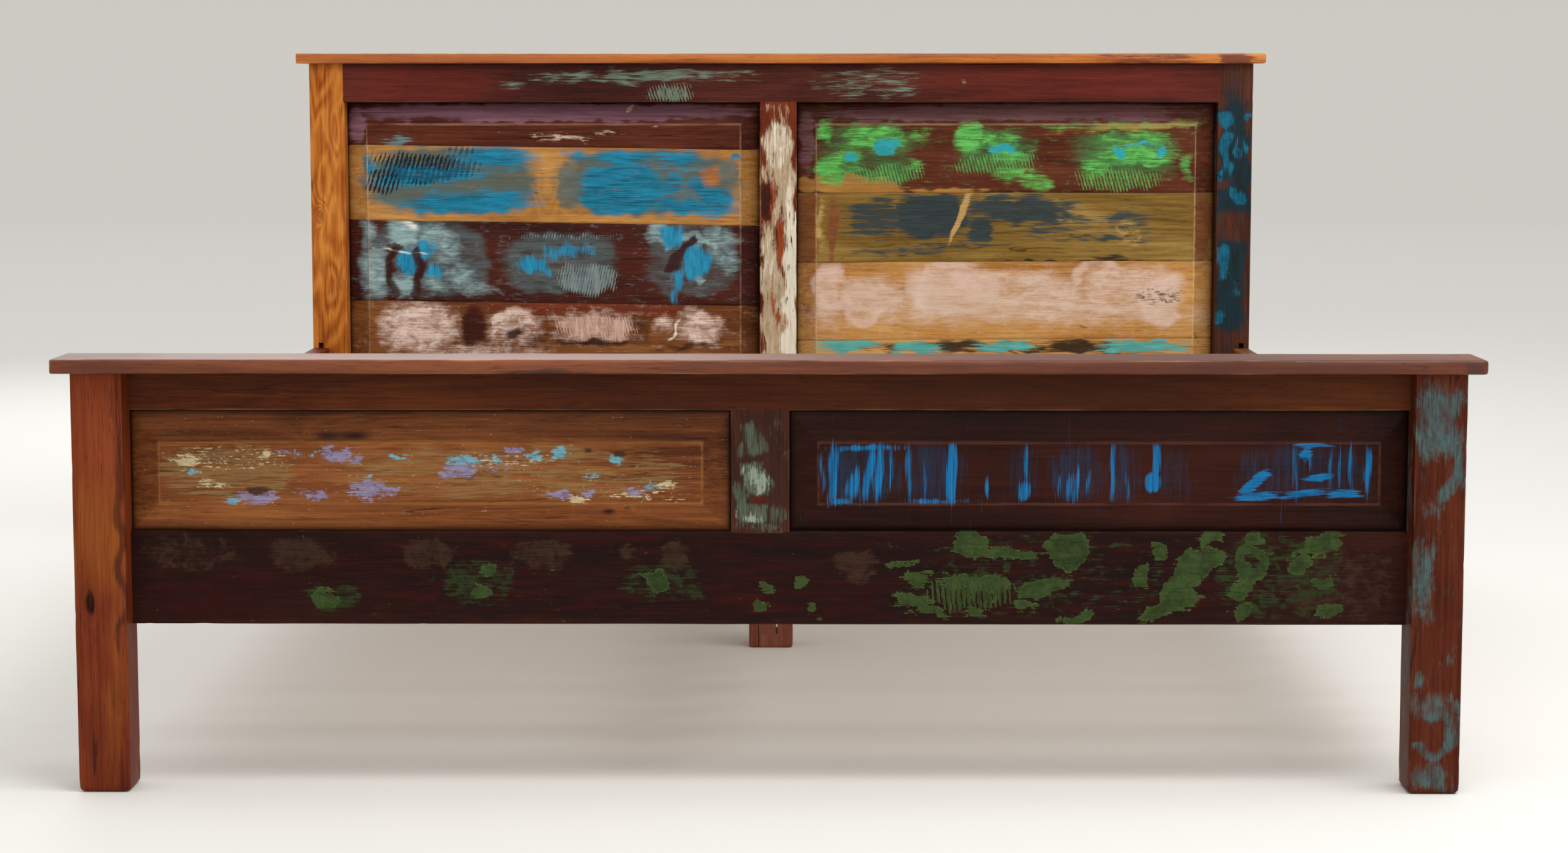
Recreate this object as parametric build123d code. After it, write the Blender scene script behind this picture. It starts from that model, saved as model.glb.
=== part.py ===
from build123d import *

import os

# A wooden bed frame with panelled head and foot boards, knock-down side rails and a slatted
# base. Millimetres, +Z up. The foot end is towards -Y and the head end towards +Y, and left
# is -X. The origin is on the floor, under the middle of the bed.

# Mattress that the frame holds
mattress_width = 1800.0
mattress_length = 2000.0
mattress_gap = 10.0  # room round the mattress, each side

# Overall heights and the posts
foot_board_height = 596.0
head_board_height = 1026.0
post_size = 70.0
post_edge_radius = 3.0
foot_chamfer = 7.0

# Caps on the boards
cap_thickness = 20.0
cap_side_overhang = 23.0
cap_edge_overhang = 18.0
cap_corner_radius = 10.0
cap_edge_radius = 3.0

# Side rails
rail_thickness = 32.0
rail_height = 180.0
rail_top = 437.0
rail_edge_radius = 2.5

# Rails, stiles and panels of both boards
bottom_rail_height = 129.0
bottom_rail_z = 227.0
foot_top_rail_height = 54.0
foot_infill_setback = 40.0  # behind the posts' front face
foot_infill_thickness = 25.0
foot_field_setback = 2.0  # panel field behind the rails' face
foot_tongue_setback = 10.0  # panel tongue behind the rails' face
foot_tenon_thickness = 10.0
foot_stile_width = 80.0
foot_stile_x = -11.0
head_top_rail_height = 77.0
head_infill_setback = 0.0
head_infill_thickness = 60.0
head_field_setback = 33.0
head_tongue_setback = 42.0
head_tenon_thickness = 16.0
head_stile_width = 74.0
head_stile_x = -5.0
infill_edge_radius = 1.5
bevel_side = 39.0
bevel_top = 44.0
bevel_bottom = 37.0
field_step = 1.2

# Widths of the planks in each head panel, from the top, which share out the panel's height,
# and how much higher each joint between two planks is at its right end than at its left
head_left_plank_widths = (90.0, 152.0, 162.0, 169.0)
head_left_joint_rises = (-10.0, -11.5, -12.5)
head_right_plank_widths = (181.0, 139.0, 157.0, 96.0)
head_right_joint_rises = (1.0, 4.5, 6.0)

# Joinery
tenon_length = 35.0
tenon_haunch = 14.0  # kept off the tenon on the panel side
tenon_shoulder = 8.0  # kept off the tenon on the outer side
tenon_clearance = 0.15
mortise_glue_room = 2.0
stile_tenon_length = 25.0
stile_tenon_shoulder = 10.0
tongue_thickness = 8.0
tongue_length = 8.0
groove_depth = 10.0
groove_clearance = 0.15
peg_radius = 3.0
peg_bite = 10.0  # how far a peg goes on past its tenon
dowel_radius = 4.0
dowel_in_cap = 12.0
dowel_in_rail = 18.0
dowel_glue_room = 1.0
rail_dowel_count = 4

# Hooks that hold the side rails to the posts
hook_plate_thickness = 4.0
hook_plate_length = 60.0  # let into the rail
hook_plate_clearance = 0.1
hook_slot_width = 10.0
hook_slot_depth = 28.0
hook_slot_above_rail = 10.0
hook_reach = 24.0
hook_below_pin = 12.0
hook_above_pin = 22.0
hook_slot_below = 5.0
hook_pin_radius = 3.0
hook_pin_notch_clearance = 0.1
hook_pin_from_face = 15.0
hook_pin_top_inset = 32.0  # upper pin below the top of the side rail
hook_pin_spacing = 95.0
hook_pin_bite = 9.0  # how far a pin goes on past the slot
hook_pin_recess = 1.0
hook_screw_inset = 30.0  # from the rail's end
hook_screw_top_inset = 27.0
hook_screw_spacing = 30.0
hook_screw_count = 3
hook_screw_length = 26.0

# Ledgers, slats and centre beam
ledger_size = 30.0
ledger_end_gap = 10.0
slat_count = 14
slat_width = 80.0
slat_thickness = 18.0
slat_end_gap = 4.0  # between a slat's end and the side rail
slat_margin = 30.0  # between the board and the first slat
slat_top = 340.0
slat_edge_radius = 2.0
beam_thickness = 29.0
beam_height = 90.0
beam_x = -15.0
slat_screw_length = 40.0
slat_screw_sink = 0.6
ledger_screw_length = 50.0

# Hangers that hold the beam's ends
hanger_plate = 2.5
hanger_clearance = 0.2
hanger_wing = 22.0
hanger_seat_length = 50.0
hanger_cheek_height = 60.0
hanger_back_height = 78.0
hanger_screw_length = 20.0
hanger_screw_inset = 18.0

# Leg under the middle of the beam
leg_y = 75.0
leg_depth = 70.0
leg_cheek_thickness = 17.0
leg_arm_thickness = 26.0
leg_slit = 3.0  # between the beam and the leg's arm
leg_foot_height = 24.0
leg_top_gap = 12.0  # below the slats
leg_corner_radius = 5.0
bolt_radius = 4.0
bolt_clearance = 0.25
bolt_head_radius = 9.0
bolt_head_height = 4.0
washer_radius = 9.0
washer_thickness = 2.0
nut_across_flats = 13.0
nut_height = 6.5
bolt_end = 3.0
upper_bolt_inset = 40.0  # below the top of the beam
lower_bolt_height = 130.0

# Wood screws
screw_radius = 2.0
screw_head_radius = 4.2
screw_head_height = 2.6
screw_tip_length = 5.0

# Derived places
inner_x = mattress_width / 2 + mattress_gap
outer_x = inner_x + rail_thickness
post_x = outer_x - post_size / 2
post_inner_x = outer_x - post_size
bay_y = mattress_length / 2 + mattress_gap
rail_bottom = rail_top - rail_height
bottom_rail_top = bottom_rail_z + bottom_rail_height
ledger_top = slat_top - slat_thickness
hook_x = inner_x + rail_thickness / 2
upper_pin_z = rail_top - hook_pin_top_inset
pin_heights = (upper_pin_z, upper_pin_z - hook_pin_spacing)
hook_plate_top = upper_pin_z + hook_above_pin
hook_plate_bottom = upper_pin_z - hook_pin_spacing - hook_below_pin
beam_bottom = ledger_top - beam_height
leg_left = beam_x - beam_thickness / 2 - leg_cheek_thickness
leg_slot_right = beam_x + beam_thickness / 2 + leg_slit
leg_right = leg_slot_right + leg_arm_thickness
bolt_heights = (ledger_top - upper_bolt_inset, lower_bolt_height)
slat_span = 2 * bay_y - 2 * slat_margin - slat_width
slat_places = [slat_span * (i / (slat_count - 1) - 0.5) for i in range(slat_count)]
slat_pitch = slat_span / (slat_count - 1)
sides = {"left": -1, "right": 1}


class EndBoard:
    """The sizes and places of the head or foot board. Its panelled face is towards -Y."""

    def __init__(self, name, front_y, height, top_rail, setback, thickness):
        self.name = name
        self.front_y = front_y
        self.post_back = front_y + post_size
        self.post_top = height - cap_thickness
        self.face_y = front_y + setback
        self.back_y = self.face_y + thickness
        self.mid_y = (self.face_y + self.back_y) / 2
        self.open_top = self.post_top - top_rail

    def set_panels(self, field, tongue, tenon, stile_width, stile_x):
        self.field_y = self.face_y + field
        self.tongue_y = self.face_y + tongue
        self.tenon = tenon
        self.stile = (stile_x - stile_width / 2, stile_x + stile_width / 2)

    def set_rail_side(self, rail_side):
        """rail_side is +1 where the side rails lie on this board's +Y side, or -1."""
        self.rail_side = rail_side
        self.rail_face = rail_side * -bay_y
        self.pin_y = self.rail_face - rail_side * hook_pin_from_face


foot = EndBoard(
    "foot",
    -bay_y - post_size,
    foot_board_height,
    foot_top_rail_height,
    foot_infill_setback,
    foot_infill_thickness,
)
foot.set_panels(
    foot_field_setback,
    foot_tongue_setback,
    foot_tenon_thickness,
    foot_stile_width,
    foot_stile_x,
)
foot.set_rail_side(1)
head = EndBoard(
    "head",
    bay_y,
    head_board_height,
    head_top_rail_height,
    head_infill_setback,
    head_infill_thickness,
)
head.set_panels(
    head_field_setback,
    head_tongue_setback,
    head_tenon_thickness,
    head_stile_width,
    head_stile_x,
)
head.set_rail_side(-1)


def block(x_range, y_range, z_range):
    """A box between two X, two Y and two Z values, each pair in either order."""
    lows = [min(pair) for pair in (x_range, y_range, z_range)]
    highs = [max(pair) for pair in (x_range, y_range, z_range)]
    middle = [(low + high) / 2 for low, high in zip(lows, highs)]
    size = [high - low for low, high in zip(lows, highs)]
    return Pos(*middle) * Box(*size)


def eased(solid, axis, radius):
    """Rounds the edges that run along one axis."""
    return fillet(solid.edges().filter_by(axis), radius)


def rod(start, direction, length, radius):
    """A plain round rod from a point along a direction."""
    plane = Plane(origin=start, z_dir=direction)
    return extrude(plane * Circle(radius), length)


def wood_screw(start, direction, length, sink=0.0):
    """A countersunk screw whose head lies at start, sink below the surface that it enters."""
    half = [
        (0, 0),
        (screw_head_radius, 0),
        (screw_radius, screw_head_height),
        (screw_radius, length - screw_tip_length),
        (0, length),
    ]
    profile = Plane.XZ * make_face(Polyline(*half, close=True))
    turned = revolve(profile, Axis.Z)
    begin = Vector(*start) + Vector(*direction) * sink
    return Plane(origin=begin, z_dir=direction) * turned


def screw_hole(start, direction, length, sink=0.0):
    """The space of a wood screw, with the sunk head's own way in."""
    hole = wood_screw(start, direction, length, sink)
    if sink:
        hole = hole + rod(start, direction, sink, screw_head_radius)
    return hole


def joined(solids):
    return Compound(children=list(solids))


# End boards


def rail_tenon_heights(board, which):
    if which == "top":
        return board.open_top + tenon_haunch, board.post_top - tenon_shoulder
    return bottom_rail_z + tenon_shoulder, bottom_rail_top - tenon_haunch


def rail_tenon(board, which, side, grow=0.0, deeper=0.0):
    """A rail's tenon in a post, or with grow and deeper the mortise that it goes in."""
    low, high = rail_tenon_heights(board, which)
    reach = tenon_length + deeper
    half = board.tenon / 2 + grow
    return block(
        (side * post_inner_x, side * (post_inner_x + reach)),
        (board.mid_y - half, board.mid_y + half),
        (low - grow, high + grow),
    )


def stile_tenon(board, end, grow=0.0, deeper=0.0):
    """The middle stile's tenon in the top (+1) or bottom (-1) rail."""
    edge = board.open_top if end > 0 else bottom_rail_top
    half = board.tenon / 2 + grow
    left, right = board.stile
    return block(
        (left + stile_tenon_shoulder - grow, right - stile_tenon_shoulder + grow),
        (board.mid_y - half, board.mid_y + half),
        (edge, edge + end * (stile_tenon_length + deeper)),
    )


def groove_y(board):
    low = board.tongue_y - groove_clearance
    return low, board.tongue_y + tongue_thickness + groove_clearance


def peg_places(board):
    """Peg heights at a post: one for the top rail and two for the bottom rail."""
    top_low, top_high = rail_tenon_heights(board, "top")
    low, high = rail_tenon_heights(board, "bottom")
    quarter = (high - low) / 4
    return (top_low + top_high) / 2, low + quarter, high - quarter


def board_pegs(board):
    length = board.post_back - (board.mid_y - board.tenon / 2) + peg_bite
    peg_x = post_inner_x + tenon_length / 2
    pegs = []
    for side in sides.values():
        for height in peg_places(board):
            start = (side * peg_x, board.post_back, height)
            pegs.append(rod(start, (0, -1, 0), length, peg_radius))
    return pegs


def hook_slot(board, side):
    bottom = hook_plate_bottom - hook_slot_below
    top = rail_top + hook_slot_above_rail
    half = hook_slot_width / 2
    return block(
        (side * hook_x - half, side * hook_x + half),
        (board.rail_face, board.rail_face - board.rail_side * hook_slot_depth),
        (bottom, top),
    )


def hook_pin(board, side, height, recess):
    """A steel pin across a hook slot, put in from the post's outer face."""
    inner = hook_x - hook_slot_width / 2 - hook_pin_bite
    length = outer_x - recess - inner
    start = (side * inner, board.pin_y, height)
    return rod(start, (side, 0, 0), length, hook_pin_radius)


def board_pins(board):
    return [
        hook_pin(board, side, height, hook_pin_recess)
        for side in sides.values()
        for height in pin_heights
    ]


def dowel_places(board):
    places = [(side * post_x, board.front_y + post_size / 2) for side in sides.values()]
    span = 2 * post_inner_x
    for i in range(rail_dowel_count):
        places.append((span * ((i + 0.5) / rail_dowel_count - 0.5), board.mid_y))
    return places


def board_dowels(board, extra=0.0):
    bottom = board.post_top - dowel_in_rail - extra
    length = dowel_in_rail + dowel_in_cap + 2 * extra
    return [rod((x, y, bottom), (0, 0, 1), length, dowel_radius) for x, y in dowel_places(board)]


def post(board, side):
    x_range = (side * post_inner_x, side * outer_x)
    body = block(x_range, (board.front_y, board.post_back), (0, board.post_top))
    body = chamfer(body.edges().group_by(Axis.Z)[0], foot_chamfer)
    body = eased(body, Axis.Z, post_edge_radius)
    for which in ("top", "bottom"):
        body = body - rail_tenon(board, which, side, tenon_clearance, mortise_glue_room)
    body = body - block(
        (side * post_inner_x, side * (post_inner_x + groove_depth)),
        groove_y(board),
        (bottom_rail_top - groove_depth, board.open_top + groove_depth),
    )
    body = body - hook_slot(board, side)
    for height in pin_heights:
        body = body - hook_pin(board, side, height, 0.0)
    return body - board_pegs(board) - board_dowels(board, dowel_glue_room)


def board_rail(board, which):
    """The top or bottom rail between two posts, with a groove for the panels."""
    if which == "top":
        low, high, edge, inward = board.open_top, board.post_top, board.open_top, 1
    else:
        low, high, edge, inward = bottom_rail_z, bottom_rail_top, bottom_rail_top, -1
    body = block((-post_inner_x, post_inner_x), (board.face_y, board.back_y), (low, high))
    body = eased(body, Axis.X, infill_edge_radius)
    for side in sides.values():
        body = body + rail_tenon(board, which, side)
    groove = block(
        (-post_inner_x, post_inner_x), groove_y(board), (edge, edge + inward * groove_depth)
    )
    body = body - groove
    body = body - stile_tenon(board, inward, tenon_clearance, mortise_glue_room)
    return body - board_pegs(board) - board_dowels(board, dowel_glue_room)


def mid_stile(board):
    left, right = board.stile
    span = (bottom_rail_top, board.open_top)
    body = block((left, right), (board.face_y, board.back_y), span)
    body = eased(body, Axis.Z, infill_edge_radius)
    for end in (1, -1):
        body = body + stile_tenon(board, end)
    for edge, inward in ((left, 1), (right, -1)):
        body = body - block((edge, edge + inward * groove_depth), groove_y(board), span)
    return body


def wall_face(x_range, y, z_range):
    """An upright rectangle across Y, facing -Y."""
    middle = (sum(x_range) / 2, y, sum(z_range) / 2)
    plane = Plane(origin=middle, x_dir=(1, 0, 0), z_dir=(0, -1, 0))
    return plane * Rectangle(x_range[1] - x_range[0], z_range[1] - z_range[0])


def raised_panel(board, x_range):
    """A raised and fielded panel. It stands on the floor of the bottom rail's groove."""
    z_range = (bottom_rail_top, board.open_top)
    field_x = (x_range[0] + bevel_side, x_range[1] - bevel_side)
    field_z = (z_range[0] + bevel_bottom, z_range[1] - bevel_top)
    step_y = board.field_y + field_step
    tongue = block(
        (x_range[0] - tongue_length, x_range[1] + tongue_length),
        (board.tongue_y, board.tongue_y + tongue_thickness),
        (z_range[0] - groove_depth, z_range[1] + tongue_length),
    )
    outer = wall_face(x_range, board.tongue_y, z_range)
    inner = wall_face(field_x, step_y, field_z)
    bevels = loft([outer, inner], ruled=True)
    field = block(field_x, (board.field_y, step_y), field_z)
    return tongue + bevels + field


def panel_openings(board):
    return {
        "left": (-post_inner_x, board.stile[0]),
        "right": (board.stile[1], post_inner_x),
    }


def plank_joints(board, widths, rises):
    """The height of each joint at the panel's left and right ends, from the top down."""
    span = board.open_top - bottom_rail_top
    joints = []
    used = 0.0
    for width, rise in zip(widths, rises):
        used += width
        height = board.open_top - span * used / sum(widths)
        joints.append((height - rise / 2, height + rise / 2))
    return joints


def panel_planks(board, x_range, widths, rises):
    """The panel cut into edge-joined planks, from the top down."""
    panel = raised_panel(board, x_range)
    left = x_range[0] - groove_depth
    right = x_range[1] + groove_depth
    above = board.open_top + groove_depth
    below = bottom_rail_top - 2 * groove_depth
    edges = [(above, above), *plank_joints(board, widths, rises), (below, below)]
    planks = []
    for top, bottom in zip(edges, edges[1:]):
        corners = [(left, top[0]), (right, top[1]), (right, bottom[1]), (left, bottom[0])]
        outline = Plane.XZ * make_face(Polyline(*corners, close=True))
        strip = Pos(0, board.back_y, 0) * extrude(outline, board.back_y - board.face_y)
        planks.append(panel & strip)
    return planks


def cap(board):
    half = outer_x + cap_side_overhang
    body = block(
        (-half, half),
        (board.front_y - cap_edge_overhang, board.post_back + cap_edge_overhang),
        (board.post_top, board.post_top + cap_thickness),
    )
    body = eased(body, Axis.Z, cap_corner_radius)
    flat = body.edges().group_by(Axis.Z)
    body = fillet(flat[-1] + flat[0], cap_edge_radius)
    return body - board_dowels(board, dowel_glue_room)


def end_board(board):
    nodes = {}
    for name, side in sides.items():
        nodes[f"{board.name}_post_{name}"] = post(board, side)
    for which in ("top", "bottom"):
        nodes[f"{board.name}_{which}_rail"] = board_rail(board, which)
    nodes[f"{board.name}_mid_stile"] = mid_stile(board)
    nodes[f"{board.name}_cap"] = cap(board)
    return nodes


def head_planks():
    rows = {
        "left": (head_left_plank_widths, head_left_joint_rises),
        "right": (head_right_plank_widths, head_right_joint_rises),
    }
    nodes = {}
    for name, x_range in panel_openings(head).items():
        planks = panel_planks(head, x_range, *rows[name])
        for number, plank in enumerate(planks, 1):
            nodes[f"head_panel_{name}_plank_{number}"] = plank
    return nodes


# Side rails with their hooks and ledgers


def hook_plate(board, side, grow=0.0):
    """The blade of a hook plate inside the rail, or with grow the kerf that it goes in."""
    half = hook_plate_thickness / 2 + grow
    inward = board.rail_side
    return block(
        (side * hook_x - half, side * hook_x + half),
        (board.rail_face, board.rail_face + inward * hook_plate_length),
        (hook_plate_bottom - grow, hook_plate_top + grow),
    )


def hook_tab(board, side, height):
    """One hook of a plate: a tab with a notch that sits down over a pin."""
    half = hook_plate_thickness / 2
    notch = hook_pin_radius + hook_pin_notch_clearance
    bottom = height - hook_below_pin
    tab = block(
        (side * hook_x - half, side * hook_x + half),
        (board.rail_face, board.rail_face - board.rail_side * hook_reach),
        (bottom, height + hook_above_pin),
    )
    seat_z = height - hook_pin_notch_clearance
    opening = block(
        (side * hook_x - half, side * hook_x + half),
        (board.pin_y - notch, board.pin_y + notch),
        (bottom, seat_z),
    )
    seat = rod((side * hook_x - half, board.pin_y, seat_z), (1, 0, 0), 2 * half, notch)
    return tab - opening - seat


def hook_screw_places(board, side):
    y = board.rail_face + board.rail_side * hook_screw_inset
    first = rail_top - hook_screw_top_inset
    return [(side * inner_x, y, first - i * hook_screw_spacing) for i in range(hook_screw_count)]


def whole_hook_plate(board, side):
    body = hook_plate(board, side)
    for height in pin_heights:
        body = body + hook_tab(board, side, height)
    for x, y, z in hook_screw_places(board, side):
        body = body - rod((x, y, z), (side, 0, 0), rail_thickness, screw_radius)
    return body


def ledger_screw_places(side):
    x = side * (inner_x - ledger_size)
    z = ledger_top - ledger_size / 2
    return [(x, y + slat_pitch / 2, z) for y in slat_places[:-1:2]]


def side_rail(side):
    body = block((side * inner_x, side * outer_x), (-bay_y, bay_y), (rail_bottom, rail_top))
    body = eased(body, Axis.Y, rail_edge_radius)
    for board in (foot, head):
        body = body - hook_plate(board, side, hook_plate_clearance)
        for place in hook_screw_places(board, side):
            body = body - screw_hole(place, (side, 0, 0), hook_screw_length)
    for place in ledger_screw_places(side):
        body = body - screw_hole(place, (side, 0, 0), ledger_screw_length)
    return body


def slat_screw_places():
    middle = ledger_size / 2
    rows = (middle - inner_x, beam_x, inner_x - middle)
    return [(x, y, slat_top) for x in rows for y in slat_places]


def slat_screw_holes(x_range, y_range):
    """Holes for the slat screws that stand inside a range of X and Y."""
    return [
        screw_hole(place, (0, 0, -1), slat_screw_length, slat_screw_sink)
        for place in slat_screw_places()
        if min(x_range) < place[0] < max(x_range) and min(y_range) < place[1] < max(y_range)
    ]


def ledger(side):
    x_range = (side * inner_x, side * (inner_x - ledger_size))
    half = bay_y - ledger_end_gap
    body = block(x_range, (-half, half), (ledger_top - ledger_size, ledger_top))
    for place in ledger_screw_places(side):
        body = body - screw_hole(place, (side, 0, 0), ledger_screw_length)
    return body - slat_screw_holes(x_range, (-half, half))


def slat(y):
    half = inner_x - slat_end_gap
    y_range = (y - slat_width / 2, y + slat_width / 2)
    body = block((-half, half), y_range, (ledger_top, slat_top))
    body = eased(body, Axis.X, slat_edge_radius)
    return body - slat_screw_holes((-half, half), y_range)


# Centre beam, its hangers and its leg


def beam_x_range(grow=0.0):
    half = beam_thickness / 2 + grow
    return beam_x - half, beam_x + half


def hanger_faces():
    """Where each hanger meets its board, and the way from there to the middle of the bed."""
    return {"foot": (foot.back_y, 1), "head": (head.face_y, -1)}


def hanger_screw_places(face_y, inward):
    offset = beam_thickness / 2 + hanger_clearance + hanger_plate + hanger_wing / 2
    low = beam_bottom + hanger_screw_inset
    high = beam_bottom + hanger_back_height - hanger_screw_inset
    y = face_y + inward * hanger_plate
    return [(beam_x + turn * offset, y, z) for turn in (-1, 1) for z in (low, high)]


def beam_hanger(face_y, inward):
    inner = beam_x_range(hanger_clearance)
    outer = beam_x_range(hanger_clearance + hanger_plate)
    wings = beam_x_range(hanger_clearance + hanger_plate + hanger_wing)
    back = (face_y, face_y + inward * hanger_plate)
    length = (face_y, face_y + inward * (hanger_plate + hanger_seat_length))
    bottom = beam_bottom - hanger_plate
    body = block(wings, back, (bottom, beam_bottom + hanger_back_height))
    body = body + block(outer, length, (bottom, beam_bottom))
    for near, far in zip(inner, outer):
        body = body + block((near, far), length, (bottom, beam_bottom + hanger_cheek_height))
    for place in hanger_screw_places(face_y, inward):
        body = body - screw_hole(place, (0, -inward, 0), hanger_screw_length)
    return body


def bolt_hole(height, start_x, end_x):
    radius = bolt_radius + bolt_clearance
    return rod((start_x, leg_y, height), (1, 0, 0), end_x - start_x, radius)


def centre_beam():
    y_range = (foot.back_y + hanger_plate, head.face_y - hanger_plate)
    body = block(beam_x_range(), y_range, (beam_bottom, ledger_top))
    body = body - bolt_hole(bolt_heights[0], leg_left, leg_right)
    return body - slat_screw_holes(beam_x_range(), y_range)


def leg_y_range():
    return leg_y - leg_depth / 2, leg_y + leg_depth / 2


def leg_cheek():
    x_range = (leg_left, leg_left + leg_cheek_thickness)
    body = block(x_range, leg_y_range(), (0, ledger_top - leg_top_gap))
    body = fillet(body.edges().filter_by(Axis.Y).group_by(Axis.X)[0], leg_corner_radius)
    for height in bolt_heights:
        body = body - bolt_hole(height, leg_left, leg_right)
    return body


def leg_block():
    """The L-shaped half of the leg: its foot, and the arm beside the beam."""
    x_range = (leg_left + leg_cheek_thickness, leg_right)
    body = block(x_range, leg_y_range(), (0, ledger_top - leg_top_gap))
    body = fillet(body.edges().filter_by(Axis.Y).group_by(Axis.X)[-1], leg_corner_radius)
    slot = block((x_range[0], leg_slot_right), leg_y_range(), (leg_foot_height, ledger_top))
    body = body - slot
    for height in bolt_heights:
        body = body - bolt_hole(height, leg_left, leg_right)
    return body


def leg_packer():
    body = block(beam_x_range(), leg_y_range(), (leg_foot_height, beam_bottom))
    return body - bolt_hole(lower_bolt_height, leg_left, leg_right)


def leg_bolt(height):
    """A dome-headed bolt from the left, with a washer and a nut on the right."""
    shank_end = leg_right + washer_thickness + nut_height + bolt_end
    start = (leg_left, leg_y, height)
    body = rod(start, (1, 0, 0), shank_end - leg_left, bolt_radius)
    dome = Plane(origin=start, z_dir=(-1, 0, 0)) * extrude(
        Circle(bolt_head_radius), bolt_head_height
    )
    top = dome.edges().group_by(Axis.X)[0]
    body = body + fillet(top, bolt_head_height * 0.7)
    washer_plane = Plane(origin=(leg_right, leg_y, height), z_dir=(1, 0, 0))
    ring = Circle(washer_radius) - Circle(bolt_radius)
    washer = extrude(washer_plane * ring, washer_thickness)
    nut_plane = washer_plane.offset(washer_thickness)
    hexagon = RegularPolygon(nut_across_flats / 2, 6, major_radius=False)
    nut = extrude(nut_plane * (hexagon - Circle(bolt_radius)), nut_height)
    return [body, washer, nut]


def fasteners():
    boards = (foot, head)
    both = [(board, side) for board in boards for side in sides.values()]
    hook_screws = [
        wood_screw(place, (side, 0, 0), hook_screw_length)
        for board, side in both
        for place in hook_screw_places(board, side)
    ]
    ledger_screws = [
        wood_screw(place, (side, 0, 0), ledger_screw_length)
        for side in sides.values()
        for place in ledger_screw_places(side)
    ]
    slat_screws = [
        wood_screw(place, (0, 0, -1), slat_screw_length, slat_screw_sink)
        for place in slat_screw_places()
    ]
    hanger_screws = [
        wood_screw(place, (0, -inward, 0), hanger_screw_length)
        for face_y, inward in hanger_faces().values()
        for place in hanger_screw_places(face_y, inward)
    ]
    return {
        "hook_pins": [pin for board in boards for pin in board_pins(board)],
        "hook_plate_screws": hook_screws,
        "ledger_screws": ledger_screws,
        "slat_screws": slat_screws,
        "hanger_screws": hanger_screws,
        "cap_dowels": [dowel for board in boards for dowel in board_dowels(board)],
        "tenon_pegs": [peg for board in boards for peg in board_pegs(board)],
        "centre_leg_bolts": [solid for z in bolt_heights for solid in leg_bolt(z)],
    }


def hanger_board_rail(board, face_y, inward):
    """A bottom rail with the holes of its beam hanger's screws."""
    body = board_rail(board, "bottom")
    for place in hanger_screw_places(face_y, inward):
        body = body - screw_hole(place, (0, -inward, 0), hanger_screw_length)
    return body


def all_nodes():
    nodes = {**end_board(foot), **end_board(head)}
    for name, x_range in panel_openings(foot).items():
        nodes[f"foot_panel_{name}"] = raised_panel(foot, x_range)
    nodes.update(head_planks())
    for board in (foot, head):
        face_y, inward = hanger_faces()[board.name]
        nodes[f"{board.name}_bottom_rail"] = hanger_board_rail(board, face_y, inward)
        nodes[f"beam_hanger_{board.name}"] = beam_hanger(face_y, inward)
    for name, side in sides.items():
        nodes[f"side_rail_{name}"] = side_rail(side)
        nodes[f"ledger_{name}"] = ledger(side)
        for board in (foot, head):
            nodes[f"hook_plate_{board.name}_{name}"] = whole_hook_plate(board, side)
    for number, y in enumerate(slat_places, 1):
        nodes[f"slat_{number:02d}"] = slat(y)
    nodes["centre_beam"] = centre_beam()
    nodes["centre_leg_cheek"] = leg_cheek()
    nodes["centre_leg_block"] = leg_block()
    nodes["centre_leg_packer"] = leg_packer()
    for name, solids in fasteners().items():
        nodes[name] = joined(solids)
    return nodes


os.makedirs("parts", exist_ok=True)
for node_name, node_shape in all_nodes().items():
    export_step(node_shape, f"parts/{node_name}.step")
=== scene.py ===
import math
from functools import partial

import bpy
import numpy as np
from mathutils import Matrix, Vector


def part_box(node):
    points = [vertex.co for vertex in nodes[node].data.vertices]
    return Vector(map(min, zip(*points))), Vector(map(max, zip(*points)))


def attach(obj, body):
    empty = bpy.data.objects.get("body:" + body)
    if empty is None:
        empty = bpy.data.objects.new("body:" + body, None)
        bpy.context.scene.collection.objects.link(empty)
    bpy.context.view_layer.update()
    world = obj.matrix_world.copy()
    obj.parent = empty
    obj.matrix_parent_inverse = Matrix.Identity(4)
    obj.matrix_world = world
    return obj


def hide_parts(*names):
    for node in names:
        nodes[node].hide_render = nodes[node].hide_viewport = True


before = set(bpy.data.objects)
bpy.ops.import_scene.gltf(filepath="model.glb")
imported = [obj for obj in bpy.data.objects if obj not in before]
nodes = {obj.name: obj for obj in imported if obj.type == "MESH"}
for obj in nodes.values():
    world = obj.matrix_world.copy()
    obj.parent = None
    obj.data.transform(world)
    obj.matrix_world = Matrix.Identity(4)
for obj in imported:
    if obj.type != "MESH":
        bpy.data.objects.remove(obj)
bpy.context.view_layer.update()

# Reclaimed wood bed. Sizes in the dictionaries are millimetres in the frame's own axes:
# x to the right, y towards the headboard, z up. The mesh code turns them to metres at the end.

mm = 0.001
shoulder = 4  # how far rails, stiles, posts and panels reach into what holds them
tongueDepth = 8  # thickness of a panel's tongue in its groove
jointWidth, jointDepth = 1.3, 0.7  # the eased joint between two planks


def sayStage(text):
    print("stage:", text)


def linearColour(text):
    channels = [int(text[i:i + 2], 16) / 255 for i in (0, 2, 4)]
    linear = [c / 12.92 if c <= 0.04045 else ((c + 0.055) / 1.055) ** 2.4 for c in channels]
    return (*linear, 1.0)


def nodeBox(name):
    low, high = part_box(name)
    return np.array(low) / mm, np.array(high) / mm


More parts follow.
